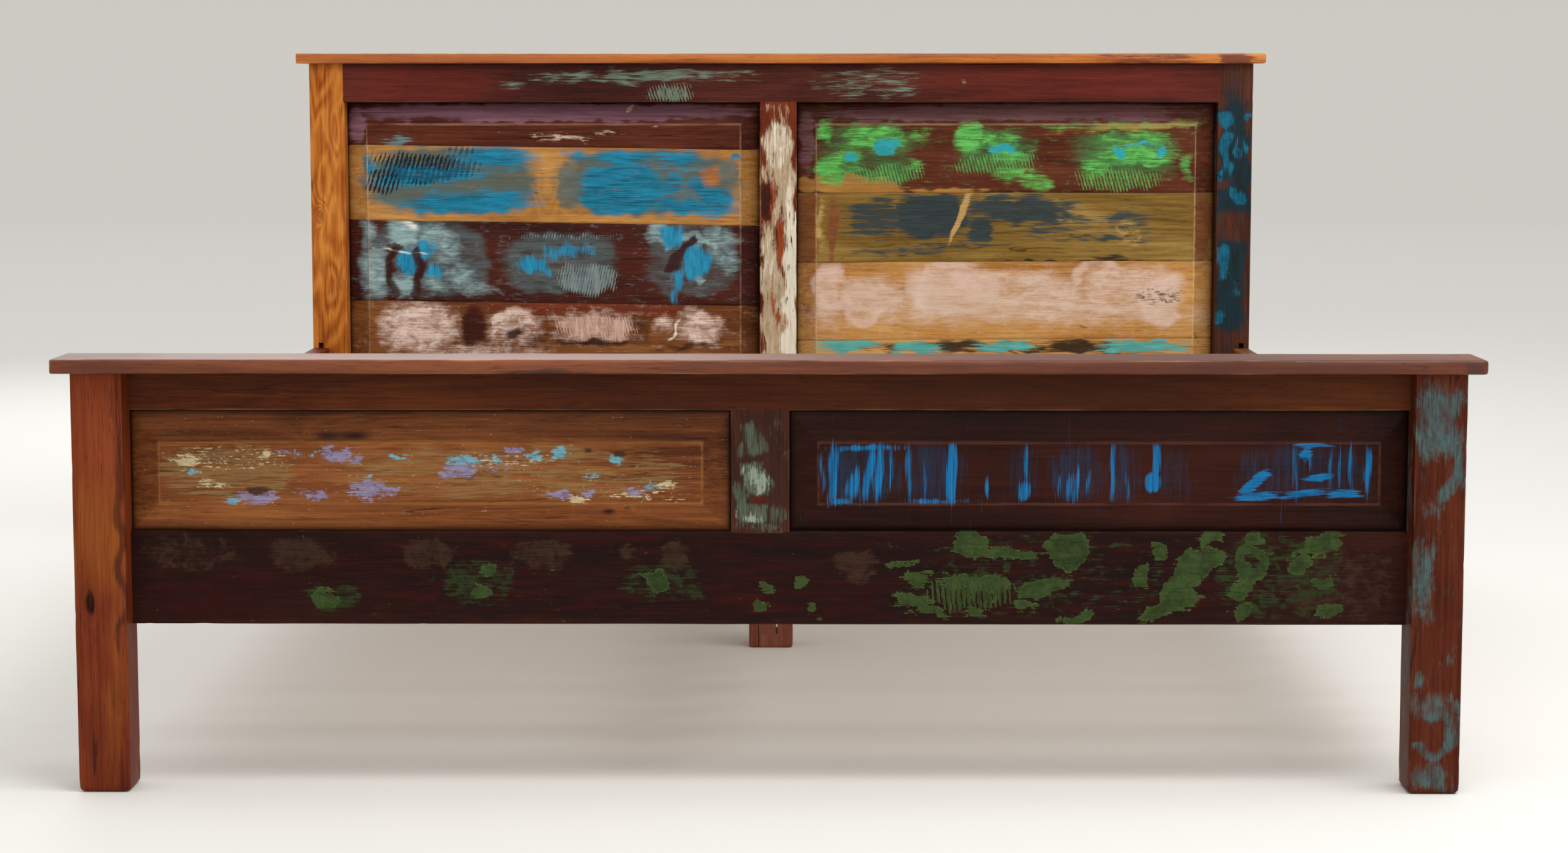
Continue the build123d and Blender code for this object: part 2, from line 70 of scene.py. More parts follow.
def addNode(tree, kind, inputs=(), out=0, **settings):
    # inputs go by name, or in the order of the sockets; the chosen output comes back
    node = tree.nodes.new(kind)
    for key, value in settings.items():
        if key == "stops":  # colour ramp, as (place, colour) pairs
            while len(node.color_ramp.elements) < len(value):
                node.color_ramp.elements.new(0.5)
            for element, (place, colour) in zip(node.color_ramp.elements, value):
                element.position = place
                element.color = linearColour(colour)
        else:
            setattr(node, key, value)
    for key, value in (inputs if isinstance(inputs, dict) else dict(enumerate(inputs))).items():
        if isinstance(value, bpy.types.NodeSocket):
            tree.links.new(value, node.inputs[key])
        elif isinstance(value, str) and node.inputs[key].type == "RGBA":
            node.inputs[key].default_value = linearColour(value)
        else:
            node.inputs[key].default_value = value
    return node.outputs[out] if node.outputs else None


def newMaterial(name):
    # an empty material, and the function that adds nodes to it
    material = bpy.data.materials.new(name)
    material.use_nodes = True
    material.node_tree.nodes.clear()
    return material, partial(addNode, material.node_tree)


# Meshes

def smoothNoise(points, size, seed):
    # gentle waves from about -1 to 1, with features of about the given size in mm
    chooser = np.random.default_rng(seed)
    total = np.zeros(len(points))
    waveCount = 7
    for _ in range(waveCount):
        direction = chooser.normal(size=3)
        direction /= np.linalg.norm(direction)
        turns = 2 * math.pi / (size * chooser.uniform(0.7, 1.7))
        total += np.sin(points @ direction * turns + chooser.uniform(0, 2 * math.pi))
    return total / math.sqrt(waveCount)


def gridLines(low, high, step, margin, extra=()):
    # places of the mesh lines along one axis, closer together near both ends
    inner = np.linspace(low + 2 * margin, high - 2 * margin, max(2, round((high - low) / step)))
    ends = [low, low + 0.3 * margin, low + margin, high - margin, high - 0.3 * margin, high]
    lines = np.concatenate([ends, inner, [e for e in extra if low < e < high]])
    lines = np.unique(np.round(lines, 3))
    keep = [0]
    for i in range(1, len(lines)):
        if lines[i] - lines[keep[-1]] > 0.2:
            keep.append(i)
    lines = lines[keep]
    lines[0], lines[-1] = low, high
    return lines


def shellMesh(xs, ys, zs):
    # a closed box surface on the given mesh lines, with outward faces
    shape = (len(xs), len(ys), len(zs))
    grid = np.indices(shape)
    outside = np.zeros(shape, bool)
    for axis in range(3):
        outside |= (grid[axis] == 0) | (grid[axis] == shape[axis] - 1)
    number = np.full(shape, -1)
    number[outside] = np.arange(outside.sum())
    i, j, k = (grid[axis][outside] for axis in range(3))
    points = np.stack([xs[i], ys[j], zs[k]], axis=1)
    quads = []
    sides = (
        (number[0, :, :], True),
        (number[-1, :, :], False),
        (number[:, 0, :], False),
        (number[:, -1, :], True),
        (number[:, :, 0], True),
        (number[:, :, -1], False),
    )
    for face, flip in sides:
        corners = [face[:-1, :-1], face[1:, :-1], face[1:, 1:], face[:-1, 1:]]
        if flip:
            corners.reverse()
        quads.append(np.stack([c.ravel() for c in corners], axis=1))
    return points, np.concatenate(quads)


def makeMesh(name, points, quads):
    mesh = bpy.data.meshes.new(name)
    mesh.from_pydata((points * mm).tolist(), [], quads.tolist())
    mesh.update()
    return mesh


def makePiece(name, mesh):
    words = name.split("_")
    words[1:] = [word.capitalize() for word in words[1:]]
    piece = bpy.data.objects.new("".join(words), mesh)
    bpy.context.collection.objects.link(piece)
    return piece


def roundedPoints(points, low, high, radius):
    # rolls the corners of a box surface over; radius is one number or one for each point
    radius = np.minimum(np.broadcast_to(radius, len(points)), (high - low).min() / 2.2)[:, None]
    inner = np.clip(points, low + radius, high - radius)
    offset = points - inner
    length = np.linalg.norm(offset, axis=1)[:, None]
    return inner + offset / np.maximum(length, 1e-9) * np.minimum(radius, np.maximum(length, 0))


def edgeDistance(points, low, high):
    # how far each point of a box surface lies from the nearest edge of the box
    reach = np.minimum(np.abs(points - low), np.abs(high - points))
    return np.sort(reach, axis=1)[:, 1]


def cutAway(piece, cutters):
    # cuts (low, high) boxes or (centre, axis, radius, length) rods out of a piece
    for cutter in cutters:
        if len(cutter) == 2:
            low, high = np.array(cutter[0]), np.array(cutter[1])
            lines = [np.array([low[a], high[a]], float) for a in range(3)]
            points, quads = shellMesh(*lines)
            tool = makePiece("tool", makeMesh("tool", points, quads))
        else:
            centre, axis, radius, length = cutter
            bpy.ops.mesh.primitive_cylinder_add(vertices=24, radius=radius * mm, depth=length * mm)
            tool = bpy.context.object
            tool.rotation_mode = "QUATERNION"
            tool.rotation_quaternion = Vector(axis).to_track_quat("Z", "Y")
            tool.location = Vector(centre) * mm
        cut = piece.modifiers.new("cut", "BOOLEAN")
        cut.solver = "EXACT"
        cut.object = tool
        depsgraph = bpy.context.evaluated_depsgraph_get()
        mesh = bpy.data.meshes.new_from_object(piece.evaluated_get(depsgraph))
        piece.modifiers.remove(cut)
        piece.data = mesh
        bpy.data.objects.remove(tool)


def coverage(across, up, strokes, softness):
    # how thickly strokes (left, right, bottom, top, weight, and perhaps a tilt) cover each
    # point; a negative weight wipes away what lies under it
    total = np.zeros(len(across))
    for left, right, bottom, top, weight, *tilt in strokes:
        angle = math.radians(sum(tilt))
        dx, dz = across - (left + right) / 2, up - (bottom + top) / 2
        halfWidth, halfHeight = (right - left) / 2, (top - bottom) / 2
        u = (dx * math.cos(angle) + dz * math.sin(angle)) / halfWidth
        v = (dz * math.cos(angle) - dx * math.sin(angle)) / halfHeight
        reach = (np.abs(u) ** 2.6 + np.abs(v) ** 2.6) ** (1 / 2.6)
        soft = min(softness, 1.6 * min(halfWidth, halfHeight))
        inside = np.clip(0.5 + (1 - reach) * min(halfWidth, halfHeight) / soft, 0, 1)
        if weight > 0:
            total = np.maximum(total, inside * weight)
        else:
            total = total * (1 + inside * weight)
    return total


def arcCoverage(across, up, arcs):
    # the same for curved swipes (x, z, radius, from, to, half width, weight)
    total = np.zeros(len(across))
    for x, z, radius, start, end, halfWidth, weight in arcs:
        dx, dz = across - x, up - z
        turn = np.degrees(np.arctan2(dz, dx)) % 360
        within = ((turn - start) % 360) <= ((end - start) % 360)
        ring = np.clip(1.5 - np.abs(np.hypot(dx, dz) - radius) / halfWidth, 0, 1)
        total = np.maximum(total, ring * within * weight)
    return total


def setField(mesh, name, values):
    field = mesh.attributes.get(name) or mesh.attributes.new(name, "FLOAT", "POINT")
    field.data.foreach_set("value", np.asarray(values, np.float32))


def paintFields(piece, spec, low, high):
    # writes what the material reads: edge, knot and one field for each coat of paint
    mesh = piece.data
    points = np.empty(len(mesh.vertices) * 3)
    mesh.vertices.foreach_get("co", points)
    points = points.reshape(-1, 3) / mm
    setField(mesh, "edge", np.exp(-edgeDistance(points, low, high) / 3.0))
    seed = spec["seed"]
    warp = spec.get("warp", 5.0)
    across = points[:, 0] + warp * smoothNoise(points, 45, seed + 1)
    up = points[:, 2] + warp * 0.7 * smoothNoise(points, 35, seed + 2)
    knot = np.zeros(len(points))
    for x, z, halfWidth, halfHeight, weight in spec.get("knots", ()):
        reach = ((points[:, 0] - x) / halfWidth) ** 2 + ((points[:, 2] - z) / halfHeight) ** 2
        knot += weight * np.exp(-reach)
    setField(mesh, "knot", knot)
    frontDepth = spec.get("frontDepth", 14.0)
    front = np.clip((low[1] + frontDepth - points[:, 1]) / 4 + 0.5, 0, 1)
    for number, layer in enumerate(spec.get("coats", ()), 1):
        cover = coverage(across, up, layer.get("strokes", ()), layer.get("softness", 14.0))
        cover = np.maximum(cover, arcCoverage(across, up, layer.get("arcs", ())))
        if not layer.get("allRound"):
            cover = cover * front - (1 - front)
        rest = layer.get("elsewhere", 0.0)  # thin left-over paint on the sides and the back
        if rest:
            patches = smoothNoise(points, 130, seed + 30 + number)
            cover = np.maximum(cover, (1 - front) * np.clip(rest + 0.35 * patches, 0, 0.8))
        setField(mesh, f"coat{number}", cover)
    return piece


def finishPiece(piece, spec, material, names):
    piece.data.materials.clear()
    piece.data.materials.append(material)
    piece.data.shade_smooth()
    piece.data.set_sharp_from_angle(angle=math.radians(spec.get("crease", 32)))
    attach(piece, "root")
    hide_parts(*names)


# Wood and paint. Old hardwood, planed by hand and waxed: satin, with open grain. Coats of old
# oil paint lie over it, rubbed through by sanding, matt and with a soft worn edge.

woods = {
    "goldenTeak": ("86400f", "b66825", "d58a3c"),
    "redSheesham": ("4a190c", "6d2c15", "86401f"),
    "smokedSheesham": ("30170f", "4c281b", "653a27"),
    "rustSheesham": ("2c1008", "4b1d0d", "622d18"),
    "blackSheesham": ("180704", "2a1009", "3e1a10"),
    "pinkSheesham": ("5c3026", "86503e", "a56a54"),
    "fumedMango": ("36190a", "52240e", "683615"),
    "honeyMango": ("512812", "7c4623", "9c6234"),
    "darkSheesham": ("381810", "5a2a1a", "74402a"),
    "maroonWood": ("2e1410", "482019", "602f24"),
    "brownMango": ("4a2614", "744422", "986436"),
    "tanMango": ("96602c", "bd8746", "d6a866"),
    "khakiMango": ("614619", "86682f", "a98c50"),
    "capAcacia": ("481e0a", "663014", "84441f"),
    "rawMango": ("a87c4c", "c79f6c", "dcbc8c"),
}


def coat(dark, light, streak, breakup, **rest):
    # one coat of paint: its two colours, the size of its streaks along x and z in mm, how broken
    # it is, and whatever else the material and the paint fields read
    return dict(rest, colours=(dark, light), streak=streak, breakup=breakup)


def woodMaterial(name, spec):
    material, add = newMaterial(name)
    place = add("ShaderNodeTexCoord", out="Object")
    offset = np.random.default_rng(spec["seed"]).uniform(-30, 30, 3).tolist()
    axis = "xyz".index(spec.get("grain", "x"))

    def grainPattern(along, across, detail, distortion):
        # lengths are the size of one mark, in mm, along and across the grain
        scale = [1000 / across] * 3
        scale[axis] = 1000 / along
        mapped = add("ShaderNodeMapping", {"Vector": place, "Location": offset, "Scale": scale})
        return add("ShaderNodeTexNoise",
                   {"Vector": mapped, "Scale": 1.0, "Detail": detail, "Roughness": 0.55,
                    "Distortion": distortion}, out="Fac")

    knot = add("ShaderNodeAttribute", out="Fac", attribute_name="knot")
    edge = add("ShaderNodeAttribute", out="Fac", attribute_name="edge")
    figure = grainPattern(spec.get("figureLength", 900), spec.get("figureWidth", 95), 1.5, 0.25)
    bent = add("ShaderNodeMath", (knot, 0.45, figure), operation="MULTIPLY_ADD")
    turns = add("ShaderNodeMath", (bent, spec.get("rings", 75.0)), operation="MULTIPLY")
    wave = add("ShaderNodeMath", (turns,), operation="SINE")
    fibre = grainPattern(170, 4.0, 4.0, 0.1)
    pores = grainPattern(26, 1.3, 1.0, 0.0)  # real pores are a third as wide; these still show
    tone = grainPattern(480, 130, 2.0, 0.4)
    ringShare = add("ShaderNodeMath", (wave, spec.get("ringStrength", 0.05), tone),
                    operation="MULTIPLY_ADD")
    fibreShare = add("ShaderNodeMath", (fibre, 0.7, -0.35), operation="MULTIPLY_ADD")
    mark = add("ShaderNodeMath", (ringShare, fibreShare), operation="ADD")
    dark, middle, light = woods[spec["wood"]]
    colour = add("ShaderNodeValToRGB", {"Fac": mark}, out="Color",
                 stops=[(0.2, dark), (0.5, middle), (0.84, light)])
    poreMask = add("ShaderNodeMapRange",
                   {"Value": pores, "From Min": 0.58, "From Max": 0.72, "To Max": 0.45})
    colour = add("ShaderNodeMix", {0: poreMask, 6: colour, 7: "4a2c20"}, out=2, data_type="RGBA",
                 blend_type="MULTIPLY")
    crackField = grainPattern(520, 26, 2.0, 0.6)
    crackWhere = grainPattern(300, 90, 1.0, 0.0)
    crackLine = add("ShaderNodeMath", (crackField, 0.5, 0.006), operation="COMPARE")
    crackMask = add("ShaderNodeMapRange",
                    {"Value": crackWhere, "From Min": 0.55, "From Max": 0.62,
                     "To Max": 0.6})
    crack = add("ShaderNodeMath", (crackLine, crackMask), operation="MULTIPLY")
    colour = add("ShaderNodeMix", {0: crack, 6: colour, 7: "1e100c"}, out=2, data_type="RGBA")
    knotDark = add("ShaderNodeMapRange", {"Value": knot, "From Min": 0.45, "From Max": 1.1, "To Max": 0.9})
    colour = add("ShaderNodeMix", {0: knotDark, 6: colour, 7: "24120f"}, out=2, data_type="RGBA")
    height = add("ShaderNodeMath", (fibre, 0.25, 0.0), operation="MULTIPLY_ADD")
    height = add("ShaderNodeMath", (crack, -0.8, height), operation="MULTIPLY_ADD")
    height = add("ShaderNodeMath", (poreMask, -0.3, height), operation="MULTIPLY_ADD")
    gloss = add("ShaderNodeMath", (fibre, 0.18, spec.get("roughness", 0.36)), operation="MULTIPLY_ADD")

    for number, layer in enumerate(spec.get("coats", ()), 1):
        cover = add("ShaderNodeAttribute", out="Fac", attribute_name=f"coat{number}")
        streakSize = layer["streak"]
        streakDepth = 20
        scale = (1000 / streakSize[0], 1000 / streakDepth, 1000 / streakSize[1])
        shift = [part + 3.7 * number for part in offset]
        mapped = add("ShaderNodeMapping", {"Vector": place, "Location": shift, "Scale": scale})
        streak = add("ShaderNodeTexNoise",
                     {"Vector": mapped, "Scale": 1.0, "Detail": 5.0, "Roughness": 0.68, "Distortion": 0.5},
                     out="Fac")
        hairWidth, hairDepth, hairLength = 1.8, 22, max(45, *streakSize)  # marks of single hairs
        hairScale = [1000 / hairWidth, 1000 / hairDepth, 1000 / hairLength]
        if streakSize[0] > streakSize[1]:
            hairScale.reverse()
        hairs = add("ShaderNodeMapping", {"Vector": place, "Location": shift, "Scale": hairScale})
        hairs = add("ShaderNodeTexNoise", {"Vector": hairs, "Scale": 1.0, "Detail": 2.0, "Roughness": 0.6},
                    out="Fac")
        breakup = layer["breakup"]
        cover = add("ShaderNodeMath", (streak, 1.3 * breakup, cover), operation="MULTIPLY_ADD")
        cover = add("ShaderNodeMath", (hairs, 0.7 * breakup, cover), operation="MULTIPLY_ADD")
        if "comb" in layer:  # chatter marks left by a rasp or a plane, at an even pitch in mm
            pitch, lean = layer["comb"]
            turned = add("ShaderNodeVectorRotate", {"Vector": place, "Angle": math.radians(lean)},
                         rotation_type="Y_AXIS")
            comb = add("ShaderNodeTexWave",
                       {"Vector": turned, "Scale": 1000 / pitch * math.pi / 10, "Distortion": 2.2,
                        "Detail": 2.0, "Detail Scale": 2.5}, out="Fac", bands_direction="X")
            cover = add("ShaderNodeMath", (comb, -layer.get("combDepth", 0.6), cover),
                        operation="MULTIPLY_ADD")
        middleLevel = 0.5 + breakup
        width = layer.get("edgeWidth", 0.12)
        mask = add("ShaderNodeMapRange",
                   {"Value": cover, "From Min": middleLevel - width, "From Max": middleLevel + width,
                    "To Max": layer.get("strength", 0.95)})
        brushed = add("ShaderNodeMix", {0: layer.get("hairShare", 0.4), 2: streak, 3: hairs},
                      data_type="FLOAT")
        paint = add("ShaderNodeValToRGB", {"Fac": brushed}, out="Color",
                    stops=[(0.36, layer["colours"][0]), (0.6, layer["colours"][1])])
        colour = add("ShaderNodeMix", {0: mask, 6: colour, 7: paint}, out=2, data_type="RGBA")
        if "rim" in layer:  # a chipped coat catches the light along its broken edge
            rimLine = add("ShaderNodeMath", (cover, middleLevel + width, 0.03), operation="COMPARE")
            rimMask = add("ShaderNodeMath", (rimLine, 0.55), operation="MULTIPLY")
            colour = add("ShaderNodeMix", {0: rimMask, 6: colour, 7: layer["rim"]}, out=2, data_type="RGBA")
        height = add("ShaderNodeMath", (mask, layer.get("thickness", 0.35), height),
                     operation="MULTIPLY_ADD")
        gloss = add("ShaderNodeMath", (mask, 0.08, gloss), operation="MULTIPLY_ADD")

    if "toneName" in spec:  # boards made together differ a little from each other
        own = add("ShaderNodeAttribute", out="Fac", attribute_name=spec["toneName"])
        own = add("ShaderNodeMapRange", {"Value": own, "To Min": 0.8, "To Max": 1.08})
        colour = add("ShaderNodeVectorMath", {0: colour, "Scale": own}, operation="SCALE")
    rub = grainPattern(70, 14, 3.0, 0.2)
    rubbed = add("ShaderNodeMath", (edge, rub), operation="MULTIPLY")
    rubMask = add("ShaderNodeMapRange",
                  {"Value": rubbed, "From Min": 0.25, "From Max": 0.55,
                   "To Max": 0.5})
    colour = add("ShaderNodeMix", {0: rubMask, 6: colour, 7: spec.get("edgeColour", light)}, out=2,
                 data_type="RGBA")
    # darkens by the piece's own field: real dirt in the joints, and painted shade in the panel's recess and
    # on its upper and side bevels
    grime = add("ShaderNodeAttribute", out="Fac", attribute_name="grime")
    colour = add("ShaderNodeMix", {0: grime, 6: colour, 7: "3a2620"}, out=2, data_type="RGBA",
                 blend_type="MULTIPLY")
    bump = add("ShaderNodeBump", {"Strength": 0.55, "Distance": 0.0009, "Height": height})
    shader = add("ShaderNodeBsdfPrincipled",
                 {"Base Color": colour, "Roughness": gloss, "Normal": bump, "IOR": 1.5,
                  "Specular IOR Level": spec.get("shine", 0.08), "Coat Weight": spec.get("wax", 0.0),
                  "Coat Roughness": 0.3})
    add("ShaderNodeOutputMaterial", {"Surface": shader})
    return material


def makeBoard(name, spec, low=None, high=None):
    # a hand-finished board: eased edges, slight waves from the plane, and a few knocks
    boxLow, boxHigh = nodeBox(name)
    low = boxLow if low is None else np.array(low, float)
    high = boxHigh if high is None else np.array(high, float)
    radius = spec.get("rounding", 2.5)
    step = spec.get("step", 6.0)
    extra = spec.get("extraLines", ((), (), ()))
    lines = []
    for a in range(3):
        margin = min(max(radius, 1.5), (high[a] - low[a]) / 5)
        lines.append(gridLines(low[a], high[a], step, margin, extra[a]))
    points, quads = shellMesh(*lines)
    seed = spec["seed"]
    edgeWaves = 1 + 0.35 * smoothNoise(points, 160, seed + 11)
    rounding = radius * np.clip(edgeWaves, 0.4, 1.8)
    if "footRounding" in spec:  # a foot that is rounded over where it meets the floor
        nearFloor = np.clip(1 - (points[:, 2] - low[2]) / (2.2 * spec["footRounding"]), 0, 1)
        rounding = rounding + (spec["footRounding"] - rounding) * nearFloor
    closeness = np.exp(-edgeDistance(points, low, high) / 4)
    flat = points.copy()
    points = roundedPoints(points, low, high, rounding)
    middle = (low + high) / 2
    inward = np.sign(middle - points)
    dents = np.zeros(len(points))
    chooser = np.random.default_rng(seed + 12)
    longest = int(np.argmax(high - low))
    for _ in range(spec.get("knocks", 10)):
        spot = low + chooser.uniform(0, 1, 3) * (high - low)
        for a in range(3):
            if a != longest:
                spot[a] = low[a] if chooser.uniform() < 0.5 else high[a]
        size = chooser.uniform(3, 11)  # mm across, and 0.4 to 1.6 mm deep
        dents += chooser.uniform(0.4, 1.6) * np.exp(-np.sum((flat - spot) ** 2, axis=1) / size**2)
    softened = 0.7
    points += inward * (dents * closeness)[:, None] * softened
    ripple = smoothNoise(flat, 210, seed + 13) + 0.4 * smoothNoise(flat, 40, seed + 14)
    onFace = [(flat[:, a] == low[a]) | (flat[:, a] == high[a]) for a in range(3)]
    depth = 0.22 * (1 + ripple) / 2
    for a in range(3):
        points[:, a] += np.where(onFace[a] & (a != longest), inward[:, a] * depth, 0)
    for x, z, halfWidth, halfHeight, deep in spec.get("hollows", ()):
        reach = ((flat[:, 0] - x) / halfWidth) ** 2 + ((flat[:, 2] - z) / halfHeight) ** 2
        points[:, 1] += np.where(onFace[1] & (flat[:, 1] == low[1]), deep * np.exp(-reach**2), 0)
    points = np.clip(points, low, high)
    piece = makePiece(name, makeMesh(name, points, quads))
    if "cuts" in spec:
        cutAway(piece, spec["cuts"])
    paintFields(piece, spec, low, high)
    finishPiece(piece, spec, woodMaterial(spec["material"], spec), [name])


def panelOf(boardName, side):
    # the opening that a raised panel fills, and the depths of its field and its edges
    left = nodeBox(f"{boardName}_post_left")[1][0]
    right = nodeBox(f"{boardName}_post_right")[0][0]
    stileLow, stileHigh = nodeBox(f"{boardName}_mid_stile")
    if side == "left":
        right = stileLow[0]
    else:
        left = stileHigh[0]
    return {
        "left": left,
        "right": right,
        "bottom": nodeBox(f"{boardName}_bottom_rail")[1][2],
        "top": nodeBox(f"{boardName}_top_rail")[0][2],
        "bevelSide": 39.0,
        "bevelTop": 44.0,
        "bevelBottom": 37.0,
        "fieldStep": 1.2,
    }


def makePlank(name, spec, panel, above=None, below=None):
    # one plank of a raised and fielded panel. above and below are the joints with its
    # neighbours, as heights at the plank's left and right ends, or None at the panel's edge
    low, high = nodeBox(name)
    field = low[1]
    back = high[1]
    tongue = back - tongueDepth
    step = spec.get("step", 3.6)
    left, right = panel["left"] - shoulder, panel["right"] + shoulder
    fieldLeft, fieldRight = panel["left"] + panel["bevelSide"], panel["right"] - panel["bevelSide"]
    fieldTop, fieldBottom = panel["top"] - panel["bevelTop"], panel["bottom"] + panel["bevelBottom"]
    crisp = 0.4
    extra = [fieldLeft - crisp, fieldLeft + crisp, fieldRight - crisp, fieldRight + crisp]
    xs = gridLines(left, right, step, 1.0, extra + [panel["left"], panel["right"]])
    share = (xs - low[0]) / (high[0] - low[0])

    def jointLine(ends, shift):
        wander = 0.5 * smoothNoise(np.stack([xs, xs * 0, xs * 0 + ends[0]], axis=1), 220, 5)
        return ends[0] + (ends[1] - ends[0]) * share + shift + wander

    flat = np.ones(len(xs))
    controls = []
    if below is None:
        controls += [(panel["bottom"] - shoulder) * flat, (fieldBottom - crisp) * flat]
        controls += [(fieldBottom + crisp) * flat]
    else:
        controls += [jointLine(below, 0.0), jointLine(below, jointWidth)]
    if above is None:
        controls += [(fieldTop - crisp) * flat, (fieldTop + crisp) * flat]
        controls += [(panel["top"] + shoulder) * flat]
    else:
        controls += [jointLine(above, -jointWidth), jointLine(above, 0.0)]
    rows = [controls[0]]
    for start, end in zip(controls, controls[1:]):
        count = max(1, round(float(np.mean(end - start)) / step))
        rows += [start + (end - start) * (i + 1) / count for i in range(count)]
    rows = np.array(rows)
    numbers = np.arange(len(rows), dtype=float)
    ys = np.array([0.0, (back - tongue) / 2, back - tongue])
    points, quads = shellMesh(xs, ys, numbers)
    column = np.searchsorted(xs, points[:, 0] - 1e-6)
    rowNumber = points[:, 2].astype(int)
    points[:, 2] = rows[rowNumber, column]
    dx = np.minimum(points[:, 0] - panel["left"], panel["right"] - points[:, 0])
    rise = np.minimum(dx / panel["bevelSide"], (panel["top"] - points[:, 2]) / panel["bevelTop"])
    rise = np.minimum(rise, (points[:, 2] - panel["bottom"]) / panel["bevelBottom"])
    rise = np.clip(rise, 0, 1.02)
    front = tongue - (tongue - field - panel["fieldStep"]) * np.minimum(rise, 1)
    front = np.where(rise >= 1, field, front)
    wave = 0.25 * (1 + smoothNoise(points, 190, spec["seed"] + 3)) / 2
    wave += 0.12 * (1 + smoothNoise(points, 38, spec["seed"] + 4)) / 2
    front = front + wave
    if below is not None:
        front = np.where(rowNumber == 0, front + jointDepth, front)
    if above is not None:
        front = np.where(rowNumber == len(rows) - 1, front + jointDepth, front)
    points[:, 1] = np.where(points[:, 1] == 0, front, tongue + points[:, 1])
    points = np.clip(points, low, high)
    piece = makePiece(name, makeMesh(name, points, quads))
    paintFields(piece, spec, low, high)
    fromField = np.minimum(np.abs(points[:, 0] - fieldLeft), np.abs(points[:, 0] - fieldRight))
    inHeight = (points[:, 2] > fieldBottom - 2) & (points[:, 2] < fieldTop + 2)
    inWidth = (points[:, 0] > fieldLeft - 2) & (points[:, 0] < fieldRight + 2)
    fromTop = np.minimum(np.abs(points[:, 2] - fieldTop), np.abs(points[:, 2] - fieldBottom))
    fromField = np.minimum(np.where(inHeight, fromField, 99), np.where(inWidth, fromTop, 99))
    fromJoint = np.full(len(points), 99.0)
    if below is not None:
        fromJoint = np.minimum(fromJoint, points[:, 2] - rows[0][column])
    if above is not None:
        fromJoint = np.minimum(fromJoint, rows[-1][column] - points[:, 2])
    fieldLine = 1.5 * np.exp(-fromField / 1.7) * (points[:, 1] < tongue)
    setField(piece.data, "edge", fieldLine + 0.35 * np.exp(-fromJoint / 2.5))
    # darker towards the frame and along the joints: real dirt in the joints, and painted shade in the
    # recess along the frame
    fromFrame = np.minimum(dx, np.minimum(panel["top"] - points[:, 2],
                                          points[:, 2] - panel["bottom"]))
    grime = 0.95 * np.exp(-np.maximum(fromFrame, 0) / 4.5) + 0.3 * np.exp(-fromJoint / 1.2)
    # painted shade: the upper and side bevels are darkened a little more, as if shaded by the frame that
    # stands proud of them
    fromBottom = (points[:, 2] - panel["bottom"]) / panel["bevelBottom"]
    shadedBevels = (rise < 1) & (fromBottom > rise + 0.01)
    grime = grime + 0.2 * shadedBevels
    setField(piece.data, "grime", grime * (points[:, 1] < back - 1))
    finishPiece(piece, spec, woodMaterial(spec["material"], spec), [name])


def makePanel(start, specs, panel, joints=()):
    # a panel's planks from the top down, with a joint between each two
    ends = [None, *joints, None]
    for number, spec in enumerate(specs):
        name = f"{start}_plank_{number + 1}" if joints else start
        makePlank(name, spec, panel, ends[number], ends[number + 1])


# The headboard's left panel, from the top down

headLeft = panelOf("head", "left")
headLeftJoints = ((844.0, 834.0), (692.7, 681.3), (531.2, 518.8))

headLeftPlank1 = {
    "material": "waxedDarkSheeshamPlank", "slot": "plank_dark", "wood": "darkSheesham", "seed": 11,
    "roughness": 0.34, "edgeColour": "b98a72",
    "knots": ((-560, 905, 60, 10, 0.4), (-240, 868, 70, 8, 0.35)),
    "coats": (
        # painted sheen: a mauve tint over the top and left bevels, in place of the light they reflect
        coat("6e4858", "a6788c", (160, 12), 0.9, strength=0.8,
             strokes=((-872, -42, 889, 930, 0.78), (-872, -836, 840, 930, 0.7))),
        coat("a8937c", "cbb79c", (24, 5), 1.3, strokes=(
            (-485, -388, 850, 866, 0.62, -4), (-376, -318, 861, 871, 0.62),
            (-305, -298, 908, 920, 0.9, 20), (-268, -250, 878, 883, 0.7))),
        coat("3e5c60", "6f8c8c", (50, 6), 1.2, strokes=((-810, -742, 836, 864, 0.6),)),
    ),
}

